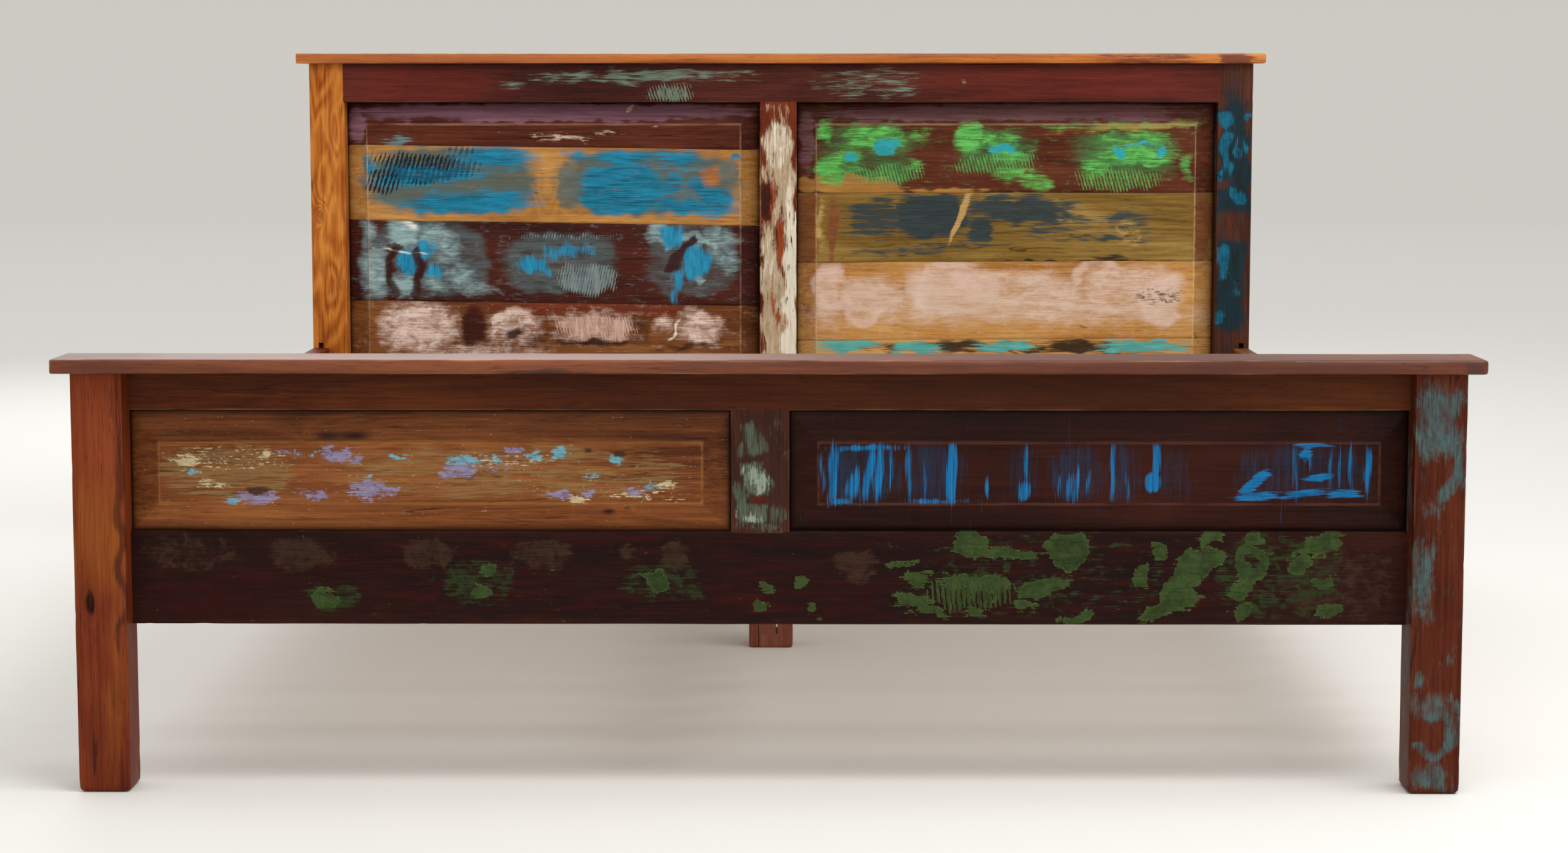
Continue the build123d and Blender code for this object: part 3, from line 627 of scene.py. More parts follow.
headLeftPlank2 = {
    "material": "waxedTanMangoBluePaintPlank", "slot": "plank_blue", "wood": "tanMango", "seed": 12,
    "edgeColour": "e2c9a2",
    "knots": ((-470, 742, 26, 44, 0.55), (-200, 690, 120, 10, 0.5)),
    "coats": (
        # thin teal-brown wash under the blue
        coat("43503f", "2b6670", (90, 9), 0.9, strength=0.85, edgeWidth=0.35, softness=20,
             strokes=((-838, -492, 706, 842, 0.92), (-452, -86, 702, 834, 0.85))),
        coat("0b4658", "1b8fb6", (70, 7), 1.0, edgeWidth=0.24, softness=20, strokes=(
            (-840, -816, 772, 830, 0.9, 8), (-836, -596, 762, 804, 0.85, 1),
            (-650, -500, 798, 842, 0.85, -3), (-762, -500, 706, 750, 0.95, 1),
            (-404, -240, 702, 806, 1.0, 4), (-262, -94, 702, 748, 0.95, -3),
            (-192, -90, 716, 768, 0.95, -20), (-438, -380, 804, 832, 0.7), (-372, -250, 800, 834, 0.85),
            (-262, -150, 798, 828, 0.75, -5), (-252, -190, 738, 786, 0.8, 20), (-98, -80, 811, 826, 0.9))),
        coat("125470", "173c4e", (26, 8), 0.9, strength=0.75, comb=(11.0, -14), combDepth=0.5,
             strokes=((-812, -604, 768, 822, 0.95, 2), (-672, -603, 824, 842, 0.9))),
        # dark ticks left by a chisel through the paint
        coat("101418", "1a2024", (9, 16), 0.9, comb=(8.5, -18), combDepth=0.95, strokes=(
            (-836, -765, 742, 800, 0.95), (-826, -640, 794, 828, 1.0, -3), (-760, -690, 762, 778, 0.8))),
        coat("6e7a74", "58605c", (40, 10), 0.8, strength=0.8, strokes=(
            (-450, -404, 712, 808, 0.85), (-240, -152, 728, 756, 0.7), (-132, -84, 768, 814, 0.8))),
        coat("b0561c", "cf7a30", (30, 9), 0.8, strength=0.7, edgeWidth=0.4,
             strokes=((-168, -122, 764, 798, 0.75),)),
    ),
}

headLeftPlank3 = {
    "material": "waxedMaroonPalePaintPlank", "slot": "plank_dark", "wood": "maroonWood", "seed": 13,
    "edgeColour": "a9887a",
    "coats": (
        coat("364446", "5c6e70", (60, 16), 0.9, strength=0.75, edgeWidth=0.35, strokes=(
            (-845, -590, 536, 692, 0.72), (-560, -328, 544, 668, 0.8), (-272, -85, 538, 690, 0.62),
            (-794, -772, 535, 636, -0.9, 5), (-742, -716, 540, 642, -0.8, 10),
            (-340, -300, 540, 690, -0.6, 8))),
        coat("6c8c90", "a6c4c6", (30, 14), 1.0, edgeWidth=0.4, softness=22, strength=0.9,
             arcs=((-180, 600, 62, 35, 150, 7, 0.8), (-120, 610, 55, 120, 230, 6, 0.7)), strokes=(
            (-845, -824, 640, 693, 0.85), (-845, -794, 540, 638, 0.8), (-792, -728, 640, 690, 0.95, -5),
            (-782, -738, 540, 582, 0.9), (-728, -658, 634, 682, 0.75), (-702, -648, 608, 652, 0.65),
            (-668, -622, 558, 598, 0.75), (-642, -584, 543, 566, 0.6), (-718, -678, 554, 580, 0.85),
            (-268, -232, 650, 692, 0.85), (-142, -118, 648, 682, 0.85), (-142, -88, 590, 682, 0.5))),
        coat("687c7e", "94a8aa", (9, 50), 1.1, strength=0.7, comb=(5.5, -12), combDepth=0.75,
             strokes=((-452, -326, 543, 604, 1.15), (-540, -335, 655, 665, 0.8))),
        coat("16719a", "2d9cc6", (14, 34), 1.0, edgeWidth=0.22, softness=18, strokes=(
            (-772, -733, 578, 634, 0.95), (-737, -703, 616, 650, 0.9), (-717, -678, 576, 602, 0.95),
            (-530, -462, 584, 616, 0.95, -6), (-482, -383, 616, 642, 0.75, 4),
            (-244, -198, 634, 684, 0.9, 12), (-200, -146, 574, 642, 0.95, -10),
            (-217, -202, 530, 602, 0.8))),
        coat("d8dcd8", "f0efe8", (60, 6), 1.0,
             strokes=((-844, -700, 628, 633, 0.8, -6), (-768, -730, 668, 690, 0.65, -18))),
        coat("2a120f", "3c1a15", (14, 40), 0.6, strength=0.85, edgeWidth=0.3, arcs=(
            (-122, 560, 105, 115, 165, 8, 1.0), (-700, 590, 88, 140, 215, 8, 0.95),
            (-820, 590, 92, 325, 30, 9, 0.9))),
    ),
}

headLeftPlank4 = {
    "material": "waxedBrownMangoPinkPaintPlank", "slot": "plank_pink", "wood": "brownMango", "seed": 14,
    "edgeColour": "c79a70",
    "knots": ((-350, 508, 120, 7, 0.5),),
    "coats": (
        coat("5c2418", "7c3a22", (120, 10), 0.9, strokes=(
            (-655, -95, 498, 527, 0.8), (-642, -598, 450, 526, 0.95), (-700, -600, 380, 440, 0.5))),
        coat("a87c6a", "f0dacd", (22, 14), 1.0, edgeWidth=0.4, softness=24, arcs=(
            (-540, 476, 34, 20, 200, 10, 0.95), (-740, 480, 30, 200, 40, 10, 0.95),
            (-158, 474, 26, 60, 330, 8, 0.9)), strokes=(
            (-808, -660, 430, 524, 0.85, 4), (-592, -484, 436, 508, 0.62), (-256, -222, 474, 498, 0.8),
            (-206, -116, 440, 508, 0.75, -12), (-460, -294, 444, 508, 0.55), (-700, -500, 400, 440, 0.6))),
        coat("241210", "3c1e16", (30, 9), 1.0, edgeWidth=0.3, strokes=(
            (-646, -598, 436, 524, 0.8), (-556, -522, 448, 474, 1.0), (-470, -285, 440, 450, 0.95),
            (-250, -110, 432, 444, 0.75, 6), (-300, -262, 440, 500, 0.5), (-520, -470, 440, 462, 0.6))),
        coat("a47868", "dcbcae", (10, 40), 0.9, comb=(6.0, 14), combDepth=0.7,
             strokes=((-455, -296, 452, 500, 1.15),)),
        coat("dcc8bc", "eadccf", (40, 8), 1.0, strokes=((-216, -210, 448, 498, 0.9, -20),)),
    ),
}

makePanel("head_panel_left",
          (headLeftPlank1, headLeftPlank2, headLeftPlank3, headLeftPlank4),
          headLeft, headLeftJoints)
sayStage("headboard, left panel")


# The headboard's right panel, from the top down

headRight = panelOf("head", "right")
headRightJoints = ((747.5, 748.5), (606.8, 611.2), (449.0, 455.0))

headRightPlank1 = {
    "material": "waxedSheeshamGreenPaintPlank", "slot": "plank_green", "wood": "darkSheesham", "seed": 21,
    "edgeColour": "c49a7a",
    "coats": (
        # pale sapwood strips, stained over, and a mauve tint over the top and left bevels: a painted sheen
        # in place of the light they reflect
        coat("96642e", "b98644", (140, 11), 0.8, strokes=(
            (60, 250, 738, 784, 1.0, -5), (240, 420, 742, 757, 0.8, -2), (556, 830, 870, 890, 0.7, 3),
            (32, 70, 748, 780, 0.95))),
        coat("643c46", "8c6268", (160, 12), 0.9, strength=0.8,
             strokes=((32, 872, 890, 930, 0.74), (32, 68, 785, 930, 0.7))),
        coat("245a38", "3f8448", (40, 9), 0.95, strength=0.8, edgeWidth=0.4, softness=26, strokes=(
            (74, 292, 768, 884, 0.58), (366, 505, 790, 872, 0.7), (590, 790, 782, 874, 0.75),
            (255, 350, 760, 850, -0.8))),
        coat("2c7434", "6cc862", (30, 9), 1.15, edgeWidth=0.34, softness=16, strokes=(
            (74, 106, 854, 890, 0.95), (138, 244, 832, 884, 0.78, -5), (108, 158, 796, 846, 0.62),
            (74, 128, 766, 820, 0.85), (118, 162, 783, 802, 0.6), (250, 284, 793, 812, 0.6),
            (258, 298, 848, 876, 0.5), (353, 402, 826, 894, 0.98), (395, 470, 836, 870, 0.62, -8),
            (428, 504, 810, 832, 0.85, 4), (435, 492, 770, 795, 0.7), (488, 546, 752, 788, 0.55, -22),
            (638, 784, 804, 842, 0.78), (600, 662, 780, 812, 0.6), (803, 824, 784, 818, 0.8),
            (560, 830, 876, 890, 0.5, 2), (690, 782, 838, 872, 0.55), (620, 700, 840, 868, 0.45))),
        # ridges in the paint from a toothed scraper
        coat("34803c", "6cbc64", (10, 24), 0.9, strength=0.65, comb=(6.5, 16), combDepth=0.95, strokes=(
            (155, 284, 768, 806, 1.12, 3), (352, 524, 786, 828, 1.0, 4), (588, 764, 752, 794, 1.15))),
        coat("1f8f98", "37a9b4", (20, 9), 0.8, strokes=(
            (188, 236, 822, 858, 0.9), (128, 152, 810, 834, 0.8), (418, 472, 824, 844, 0.9),
            (673, 698, 818, 842, 0.9), (757, 773, 823, 842, 0.9), (690, 760, 838, 852, 0.6))),
    ),
}

headRightPlank2 = {
    "material": "waxedKhakiMangoNavyPaintPlank", "slot": "plank_khaki", "wood": "khakiMango", "seed": 22,
    "edgeColour": "d2b98a",
    "coats": (
        coat("6a3a20", "8f5a34", (70, 14), 0.85, strokes=(
            (32, 72, 600, 750, 0.95), (90, 116, 612, 746, 0.85, -2), (92, 104, 606, 622, 1.0),
            (825, 872, 600, 750, 0.8))),
        coat("1e2a2c", "34454a", (70, 6), 1.5, edgeWidth=0.16, softness=24, strokes=(
            (228, 380, 652, 746, 0.98, 4), (128, 250, 654, 742, 0.62), (372, 588, 684, 742, 0.95, -3),
            (378, 434, 646, 702, 0.85), (560, 640, 684, 708, 0.6), (638, 756, 666, 718, 0.52),
            (540, 770, 650, 662, 0.66), (240, 440, 634, 648, 0.6), (130, 320, 618, 638, 0.5),
            (440, 620, 664, 684, 0.5))),
        coat("1e1a14", "34302a", (60, 5), 1.0,
             strokes=((330, 828, 604, 613, 0.7), (618, 722, 612, 624, 0.75), (358, 440, 637, 643, 0.6))),
        coat("b08c4c", "c6a468", (30, 12), 0.6, strokes=(
            (356, 369, 642, 752, 1.0, -25), (668, 727, 630, 702, 0.42), (70, 90, 620, 744, 0.6))),
    ),
}

headRightPlank3 = {
    "material": "waxedTanMangoPinkPaintPlank", "slot": "plank_pink", "wood": "tanMango", "seed": 23,
    "edgeColour": "ecd3ae",
    "knots": ((60, 560, 12, 12, 0.7), (54, 510, 9, 16, 0.9)),
    "coats": (
        coat("c8a48c", "dcc2b0", (40, 16), 0.85, strength=0.95, edgeWidth=0.35, softness=26, strokes=(
            (72, 124, 480, 602, 0.85), (108, 254, 496, 574, 0.85), (252, 452, 494, 596, 0.95, 3),
            (306, 402, 596, 612, 0.95), (438, 540, 486, 560, 0.75), (538, 702, 494, 540, 0.8),
            (606, 724, 545, 602, 0.75), (736, 806, 486, 592, 0.9), (110, 800, 484, 520, 0.7),
            (250, 640, 490, 590, 0.72), (600, 812, 486, 600, 0.66))),
        coat("d4b2a4", "e6cabd", (24, 14), 0.95, strength=0.7, edgeWidth=0.5, softness=24, arcs=(
            (105, 556, 34, 60, 330, 9, 0.95), (165, 520, 36, 190, 350, 8, 0.85),
            (640, 575, 40, 20, 200, 9, 0.85), (770, 528, 40, 90, 320, 9, 0.9),
            (340, 545, 60, 80, 200, 10, 0.7)), strokes=(
            (256, 300, 500, 596, 0.75, 8), (330, 440, 548, 590, 0.65), (756, 800, 540, 590, 0.75),
            (88, 118, 560, 600, 0.7))),
        coat("3c2a1e", "5c4432", (16, 6), 1.3,
             strokes=((698, 822, 518, 558, 0.42), (560, 640, 470, 484, 0.4))),
    ),
}

headRightPlank4 = {
    "material": "waxedTanMangoTurquoisePaintPlank", "slot": "plank_turquoise", "wood": "tanMango",
    "seed": 24, "edgeColour": "d9bd90",
    "coats": (
        coat("1f1812", "3a2c22", (70, 7), 1.0,
             strokes=((70, 830, 420, 452, 0.6), (300, 400, 430, 452, 0.85), (530, 650, 424, 450, 0.9))),
        coat("3d8f8a", "62b8b0", (60, 9), 1.0, strokes=(
            (72, 210, 426, 452, 0.85), (218, 330, 420, 448, 0.8), (392, 520, 424, 452, 0.8),
            (640, 826, 426, 452, 0.85), (120, 760, 396, 420, 0.45))),
    ),
}

makePanel("head_panel_right",
          (headRightPlank1, headRightPlank2, headRightPlank3, headRightPlank4),
          headRight, headRightJoints)
sayStage("headboard, right panel")


# The footboard's two panels, one wide plank each

footPanelLeft = {
    "material": "waxedGoldenMangoFlakedPaintPanel", "slot": "panel_golden", "wood": "honeyMango",
    "seed": 31, "edgeColour": "a5703a", "warp": 3.0, "step": 3.2,
    "knots": ((-605, 486, 22, 9, 1.0), (-562, 486, 26, 8, 1.1), (-218, 383, 10, 4, 1.1),
              (-193, 388, 6, 3, 1.0), (-480, 500, 110, 10, 0.5), (-300, 378, 120, 9, 0.5)),
    "coats": (
        coat("6c5636", "8e7648", (50, 5), 1.4, strength=0.6,
             strokes=((-832, -640, 398, 474, 0.6), (-600, -88, 398, 474, 0.5))),
        coat("6a6080", "9389a6", (9, 4), 1.45, edgeWidth=0.08, softness=9, strokes=(
            (-832, -88, 398, 472, 0.06), (-610, -570, 452, 472, 0.68, 6), (-578, -556, 446, 458, 0.8),
            (-574, -514, 400, 426, 0.7, -4), (-730, -672, 392, 411, 0.75), (-642, -600, 397, 413, 0.75),
            (-446, -394, 428, 452, 0.72, 8), (-358, -332, 462, 474, 0.8), (-306, -264, 398, 412, 0.75),
            (-256, -234, 402, 412, 0.7), (-196, -168, 403, 416, 0.8), (-534, -496, 406, 420, 0.7),
            (-684, -636, 456, 468, 0.5), (-400, -340, 436, 450, 0.5))),
        coat("47879c", "76adbc", (9, 4), 1.45, edgeWidth=0.08, softness=8, strokes=(
            (-832, -88, 398, 472, 0.06), (-438, -390, 446, 461, 0.72), (-384, -360, 447, 458, 0.68),
            (-331, -309, 451, 466, 0.72), (-298, -272, 452, 473, 0.72), (-220, -196, 448, 461, 0.72),
            (-168, -146, 411, 422, 0.68), (-742, -718, 390, 402, 0.8), (-800, -780, 431, 443, 0.8),
            (-644, -596, 460, 470, 0.5), (-524, -486, 454, 464, 0.55), (-254, -228, 424, 435, 0.6),
            (-564, -526, 430, 440, 0.5))),
        coat("a8956c", "cdbb94", (8, 3.5), 1.6, edgeWidth=0.1, softness=7, strokes=(
            (-832, -88, 396, 474, 0.02), (-812, -778, 444, 459, 0.8), (-780, -740, 412, 428, 0.55),
            (-696, -680, 455, 465, 0.7), (-270, -246, 393, 404, 0.95), (-152, -128, 413, 423, 0.7),
            (-420, -300, 440, 462, 0.3), (-830, -640, 436, 474, 0.26), (-240, -110, 396, 412, 0.36))),
        coat("2c1a12", "4a3020", (26, 5), 1.1, strokes=(
            (-715, -685, 405, 416, 0.85), (-765, -745, 412, 422, 0.7), (-214, -196, 460, 468, 0.9),
            (-252, -238, 462, 470, 0.8), (-480, -300, 420, 440, 0.4), (-830, -700, 462, 474, 0.4))),
    ),
}

footPanelRight = {
    "material": "waxedDarkSheeshamBlueStrokePanel", "slot": "panel_blue", "wood": "blackSheesham",
    "seed": 32, "edgeColour": "6c4032", "warp": 1.2, "step": 3.0,
    "coats": (
        # the field was sanded back to a redder brown
        coat("2a0f08", "40190e", (180, 14), 0.7, strength=0.75, edgeWidth=0.4, softness=30,
             strokes=((62, 832, 392, 480, 0.66),)),
        # thin dark blue left where the coat was rubbed off
        coat("09202f", "113c58", (7, 70), 1.2, strength=0.5, edgeWidth=0.3, softness=18, strokes=(
            (72, 182, 396, 476, 0.72), (184, 264, 396, 476, 0.62), (325, 365, 396, 474, 0.5),
            (385, 455, 396, 474, 0.66), (460, 505, 396, 474, 0.55), (535, 575, 396, 474, 0.5),
            (640, 822, 400, 476, 0.5), (50, 845, 477, 520, -1.0), (50, 845, 350, 394, -1.0))),
        # blue from a stiff flat brush, drawn down the panel
        coat("0c466e", "1a78b4", (4, 90), 1.15, edgeWidth=0.2, softness=7, hairShare=0.6, strokes=(
            (71, 76, 405, 466, 0.75), (82, 94, 396, 470, 1.05, -3), (88, 176, 467, 474, 0.8, 1),
            (112, 124, 400, 440, 0.75, -16), (130, 141, 398, 462, 0.95, -12),
            (146, 156, 402, 474, 1.0, -5), (104, 112, 398, 430, 0.7, -18), (166, 171, 410, 472, 0.7, -4),
            (84, 112, 392, 400, 0.95), (189, 197, 404, 470, 0.9), (186, 262, 393, 400, 0.75),
            (212, 217, 400, 450, 0.55), (244, 256, 398, 477, 1.15, -2), (294, 300, 404, 430, 0.85),
            (343, 357, 396, 424, 0.95, -6), (349, 354, 424, 474, 0.85), (394, 400, 400, 440, 0.6, -8),
            (406, 414, 396, 432, 0.85, -8), (418, 424, 396, 440, 0.7, -8), (432, 437, 402, 436, 0.6, -6),
            (466, 472, 398, 476, 1.0), (486, 491, 402, 450, 0.6), (524, 534, 430, 480, 1.0),
            (512, 538, 410, 436, 0.95), (716, 720, 404, 474, 0.8), (764, 768, 414, 466, 0.7),
            (776, 780, 414, 466, 0.7), (790, 796, 410, 470, 0.8), (812, 821, 412, 468, 0.95),
            (736, 741, 440, 474, 0.7), (50, 845, 477, 520, -1.0), (50, 845, 350, 394, -1.0))),
        coat("0c466e", "1a78b4", (40, 5), 1.0, softness=7, hairShare=0.6, strokes=(
            (634, 690, 414, 430, 0.85, 38), (638, 696, 400, 409, 1.0, 3), (698, 760, 403, 412, 0.95, 8),
            (728, 773, 425, 435, 0.85, 6), (718, 764, 471, 477, 0.85), (764, 806, 402, 413, 0.95),
            (722, 744, 452, 468, 0.6, 42))),
    ),
}

makePanel("foot_panel_left", (footPanelLeft,), panelOf("foot", "left"))
makePanel("foot_panel_right", (footPanelRight,), panelOf("foot", "right"))
sayStage("footboard, panels")


# Posts. Cut lists are boxes in mm: here the slot that a side rail's hooks drop into.

railLow, railHigh = nodeBox("side_rail_right")
slotHalf = 5.0
slotMiddle = (railLow[0] + railHigh[0]) / 2


def hookSlot(side, faceY, inward):
    centre = side * slotMiddle
    ys = sorted((faceY + inward * 1.0, faceY - inward * 28.0))
    return ((centre - slotHalf, ys[0], 293.0), (centre + slotHalf, ys[1], 447.0))


footPostLeft = {
    "material": "waxedRedSheeshamPost", "slot": "foot_post_wood", "wood": "redSheesham", "seed": 41,
    "ringStrength": 0.05, "edgeColour": "94552f",
    "knots": ((-921, 262, 7.5, 20, 1.5),),
    "hollows": ((-921, 262, 4.4, 15, 6.0),),
    "extraLines": ((-927, -925, -923, -921, -919, -917, -915), (), tuple(range(244, 282, 2))),
    "cuts": (hookSlot(-1, -1010.0, 1),),
    "coats": (
        coat("7c4018", "96551f", (20, 160), 0.9, strength=0.6, edgeWidth=0.4, softness=30,
             strokes=((-940, -874, 280, 420, 0.8), (-900, -874, 60, 260, 0.6))),
        coat("2c130c", "401c12", (10, 90), 0.9, strength=0.7,
             strokes=((-886, -872, 120, 560, 0.8), (-942, -934, 260, 520, 0.5))),
    ),
}

footPostRight = {
    "material": "waxedRedSheeshamRubbedTealPost", "slot": "foot_post_wood", "wood": "rustSheesham",
    "seed": 42, "edgeColour": "94552f",
    "cuts": (hookSlot(1, -1010.0, 1),),
    "coats": (
        coat("2a3d41", "4a6665", (12, 30), 1.35, strength=0.85, edgeWidth=0.3, softness=20, elsewhere=0.2,
             arcs=(
            (880, 452, 48, 300, 60, 10, 0.75), (905, 82, 26, 200, 120, 7, 0.8),
            (905, 96, 40, 250, 60, 6, 0.6)), strokes=(
            (872, 938, 462, 560, 0.72), (882, 922, 384, 402, 0.6), (871, 902, 250, 342, 0.72),
            (920, 932, 178, 192, 0.7), (874, 892, 148, 172, 0.7), (880, 922, 8, 42, 0.72),
            (872, 936, 100, 140, 0.45))),
    ),
}

headPostLeft = {
    "material": "waxedGoldenTeakPost", "slot": "head_post_golden", "wood": "goldenTeak", "seed": 43,
    "rings": 62.0, "ringStrength": 0.15, "figureWidth": 64, "figureLength": 260, "edgeColour": "d8a05a",
    "knots": ((-922, 703, 9, 22, 0.8), (-890, 860, 10, 60, 0.35)),
    "cuts": (hookSlot(-1, 1010.0, -1),),
    "coats": (
        coat("7a3418", "954a22", (12, 90), 0.9, strength=0.7, edgeWidth=0.3, strokes=(
            (-942, -930, 620, 740, 0.85), (-882, -872, 460, 900, 0.7), (-905, -896, 780, 950, 0.6, -4))),
    ),
}

headPostRight = {
    "material": "waxedDarkSheeshamTealPaintPost", "slot": "head_post_teal", "wood": "smokedSheesham",
    "seed": 44, "edgeColour": "5c3424",
    "cuts": (hookSlot(1, 1010.0, -1),),
    "coats": (
        coat("0f1e20", "15303a", (14, 60), 0.95, edgeWidth=0.25, elsewhere=0.3, strokes=(
            (872, 942, 440, 965, 0.9), (872, 942, 650, 716, -0.7), (872, 905, 758, 778, -0.8),
            (872, 942, 448, 472, -0.6), (925, 942, 500, 620, -0.5))),
        coat("0d3c4e", "176682", (18, 34), 0.95, elsewhere=0.1, strokes=(
            (874, 912, 878, 912, 0.9), (928, 942, 893, 907, 0.8), (878, 902, 778, 882, 0.7),
            (898, 932, 724, 760, 0.9, 10), (872, 902, 582, 642, 0.85), (872, 894, 488, 512, 0.85),
            (905, 940, 800, 880, 0.45), (905, 935, 540, 600, 0.45))),
    ),
}

postShape = {"grain": "z", "step": 5.0, "rounding": 3.0, "footRounding": 8.0}
posts = {"foot_post_left": footPostLeft, "foot_post_right": footPostRight,
         "head_post_left": headPostLeft, "head_post_right": headPostRight}
for postName, postSpec in posts.items():
    postTop = nodeBox(postName)[1] + (0, 0, shoulder)
    makeBoard(postName, {**postShape, **postSpec}, high=postTop)
sayStage("posts")


# Rails and middle stiles, with their shoulders let a little way into the posts and rails

def innerRail(name, spec):
    low, high = nodeBox(name)
    reach = nodeBox("foot_post_right")[0][0] + shoulder
    makeBoard(name, spec, low=(-reach, low[1], low[2]), high=(reach, high[1], high[2]))


def innerStile(name, spec):
    board = name.split("_")[0]
    low, high = nodeBox(name)
    low[2] = nodeBox(f"{board}_bottom_rail")[1][2] - shoulder
    high[2] = nodeBox(f"{board}_top_rail")[0][2] + shoulder
    makeBoard(name, spec, low=low, high=high)


headTopRail = {
    "material": "waxedMaroonWoodWornGreenRail", "slot": "rail_maroon", "wood": "maroonWood", "seed": 51,
    "step": 4.5, "rounding": 1.8, "edgeColour": "8a5444",
    "coats": (
        coat("521c15", "702b20", (180, 16), 0.8, strength=0.85, edgeWidth=0.4, softness=40,
             strokes=((-876, -560, 930, 1004, 0.8), (300, 876, 930, 1004, 0.85))),
        coat("4f6456", "7e9683", (48, 6), 1.15, edgeWidth=0.16, strength=0.75, strokes=(
            (-562, -498, 953, 977, 0.4), (-502, -96, 968, 993, 0.6), (-472, -418, 966, 982, 0.62),
            (-342, -268, 963, 982, 0.7), (-332, -158, 974, 992, 0.8), (-300, -34, 985, 991, 0.85),
            (60, 284, 934, 1000, 0.4), (354, 367, 966, 975, 0.85))),
        coat("566c5c", "7e9480", (10, 18), 1.2, strength=0.7, comb=(6.0, 18), combDepth=0.7,
             strokes=((-264, -176, 932, 966, 1.2),)),
    ),
}

headBottomRail = {
    "material": "waxedBrownMangoRail", "slot": "back_rail_wood", "wood": "redSheesham", "seed": 52,
    "step": 7.0, "rounding": 1.8,
    "knots": ((330, 300, 26, 14, 0.9),),
}

footTopRail = {
    "material": "waxedBrownMangoFootRail", "slot": "foot_rail_brown", "wood": "fumedMango", "seed": 53,
    "step": 4.5, "rounding": 1.5, "edgeColour": "a5743e",
    "knots": ((-270, 529, 15, 4, 0.9), (-755, 524, 14, 4, 0.8)),
    "coats": (
        # dark stain over the right part; the left part is darkened only in its top band, a painted shadow
        # under the cap
        coat("28120a", "3c1e10", (200, 14), 0.8, strength=0.7, edgeWidth=0.4, softness=60,
             strokes=((-300, 876, 522, 576, 0.85), (-876, -300, 552, 576, 0.6))),
        # dark marks by the two knots, and a painted shadow in a band along the whole top, under the cap
        coat("2a1810", "3e2618", (80, 4), 1.0, strokes=(
            (-770, -738, 518, 526, 0.8, 6), (-285, -255, 521, 528, 0.8), (-876, 876, 566, 577, 0.5))),
    ),
}

footBottomRail = {
    "material": "waxedMaroonWoodOliveFlakeRail", "slot": "rail_maroon", "wood": "blackSheesham",
    "seed": 54, "step": 4.0, "rounding": 1.8, "edgeColour": "40241a", "roughness": 0.4,
    "coats": (
        coat("0b0505", "130807", (70, 22), 0.9, strength=0.9, edgeWidth=0.35, softness=40, allRound=True,
             strokes=((-876, 876, 225, 358, 0.64),)),
        coat("1a0606", "320d0a", (90, 12), 1.2, edgeWidth=0.2, strokes=(
            (-876, 876, 235, 352, 0.42), (-860, -660, 230, 300, 0.6), (-100, 180, 232, 300, 0.6),
            (400, 870, 240, 350, 0.5))),
        coat("241610", "3c271c", (16, 14), 1.2, edgeWidth=0.14, strokes=(
            (-677, -598, 298, 347, 0.72), (-502, -433, 303, 347, 0.72), (-347, -273, 303, 347, 0.7),
            (-202, -178, 313, 342, 0.7), (-152, -108, 298, 342, 0.7), (88, 152, 288, 332, 0.7),
            (-860, -720, 300, 350, 0.5), (700, 860, 230, 340, 0.5))),
        coat("171d0e", "2c361b", (22, 14), 1.2, edgeWidth=0.1, strokes=(
            (-876, 876, 228, 356, 0.14), (180, 560, 232, 356, 0.34), (600, 790, 232, 356, 0.45),
            (-640, -560, 240, 284, 0.6), (-460, -340, 250, 320, 0.5), (-200, -90, 255, 315, 0.5))),
        # thick olive paint, chipped to a hard edge
        coat("202b12", "3a4b26", (18, 15), 1.5, rim="5e7639", edgeWidth=0.03, thickness=0.8, softness=10,
             hairShare=0.25, arcs=((658, 313, 17, 0, 359, 8, 0.95), (640, 290, 20, 240, 60, 5, 0.8)),
             strokes=(
            (-628, -588, 247, 277, 0.95, 24), (-392, -369, 294, 312, 0.9),
            (-406, -380, 264, 280, 0.85, 10), (-306, -276, 297, 309, 0.62),
            (-170, -134, 270, 304, 0.95, 20), (-13, 4, 273, 286, 0.95), (-14, 3, 243, 257, 0.95, 10),
            (34, 50, 278, 296, 1.0), (58, 72, 245, 256, 0.9), (65, 80, 230, 241, 0.85),
            (164, 208, 307, 317, 0.85, 4), (182, 222, 284, 300, 0.85), (178, 224, 250, 271, 0.95),
            (194, 252, 237, 251, 0.9, -3), (272, 292, 234, 251, 0.8), (340, 414, 265, 292, 0.9, 12),
            (343, 367, 247, 261, 0.9), (398, 442, 229, 241, 1.0, 8), (250, 300, 318, 357, 0.9, -8),
            (290, 392, 318, 334, 0.9), (386, 438, 305, 357, 1.0, 22), (498, 521, 274, 313, 1.0, 12),
            (523, 548, 318, 342, 0.95), (500, 592, 238, 262, 0.95, 24), (548, 582, 246, 322, 0.95, -30),
            (560, 616, 296, 332, 0.9, 30), (593, 617, 338, 357, 0.9), (652, 674, 338, 357, 0.9),
            (633, 654, 263, 287, 0.9), (638, 662, 231, 262, 0.95), (713, 742, 299, 319, 0.95),
            (738, 782, 328, 357, 1.0, 10), (744, 773, 279, 298, 1.0), (753, 777, 239, 258, 1.0),
            (225, 332, 272, 300, 0.7), (700, 760, 318, 330, 0.62))),
        coat("202b12", "3a4b26", (8, 24), 1.1, rim="5e7639", comb=(7.0, 6), combDepth=0.85,
             edgeWidth=0.05, strokes=((224, 334, 250, 288, 1.25),)),
    ),
}

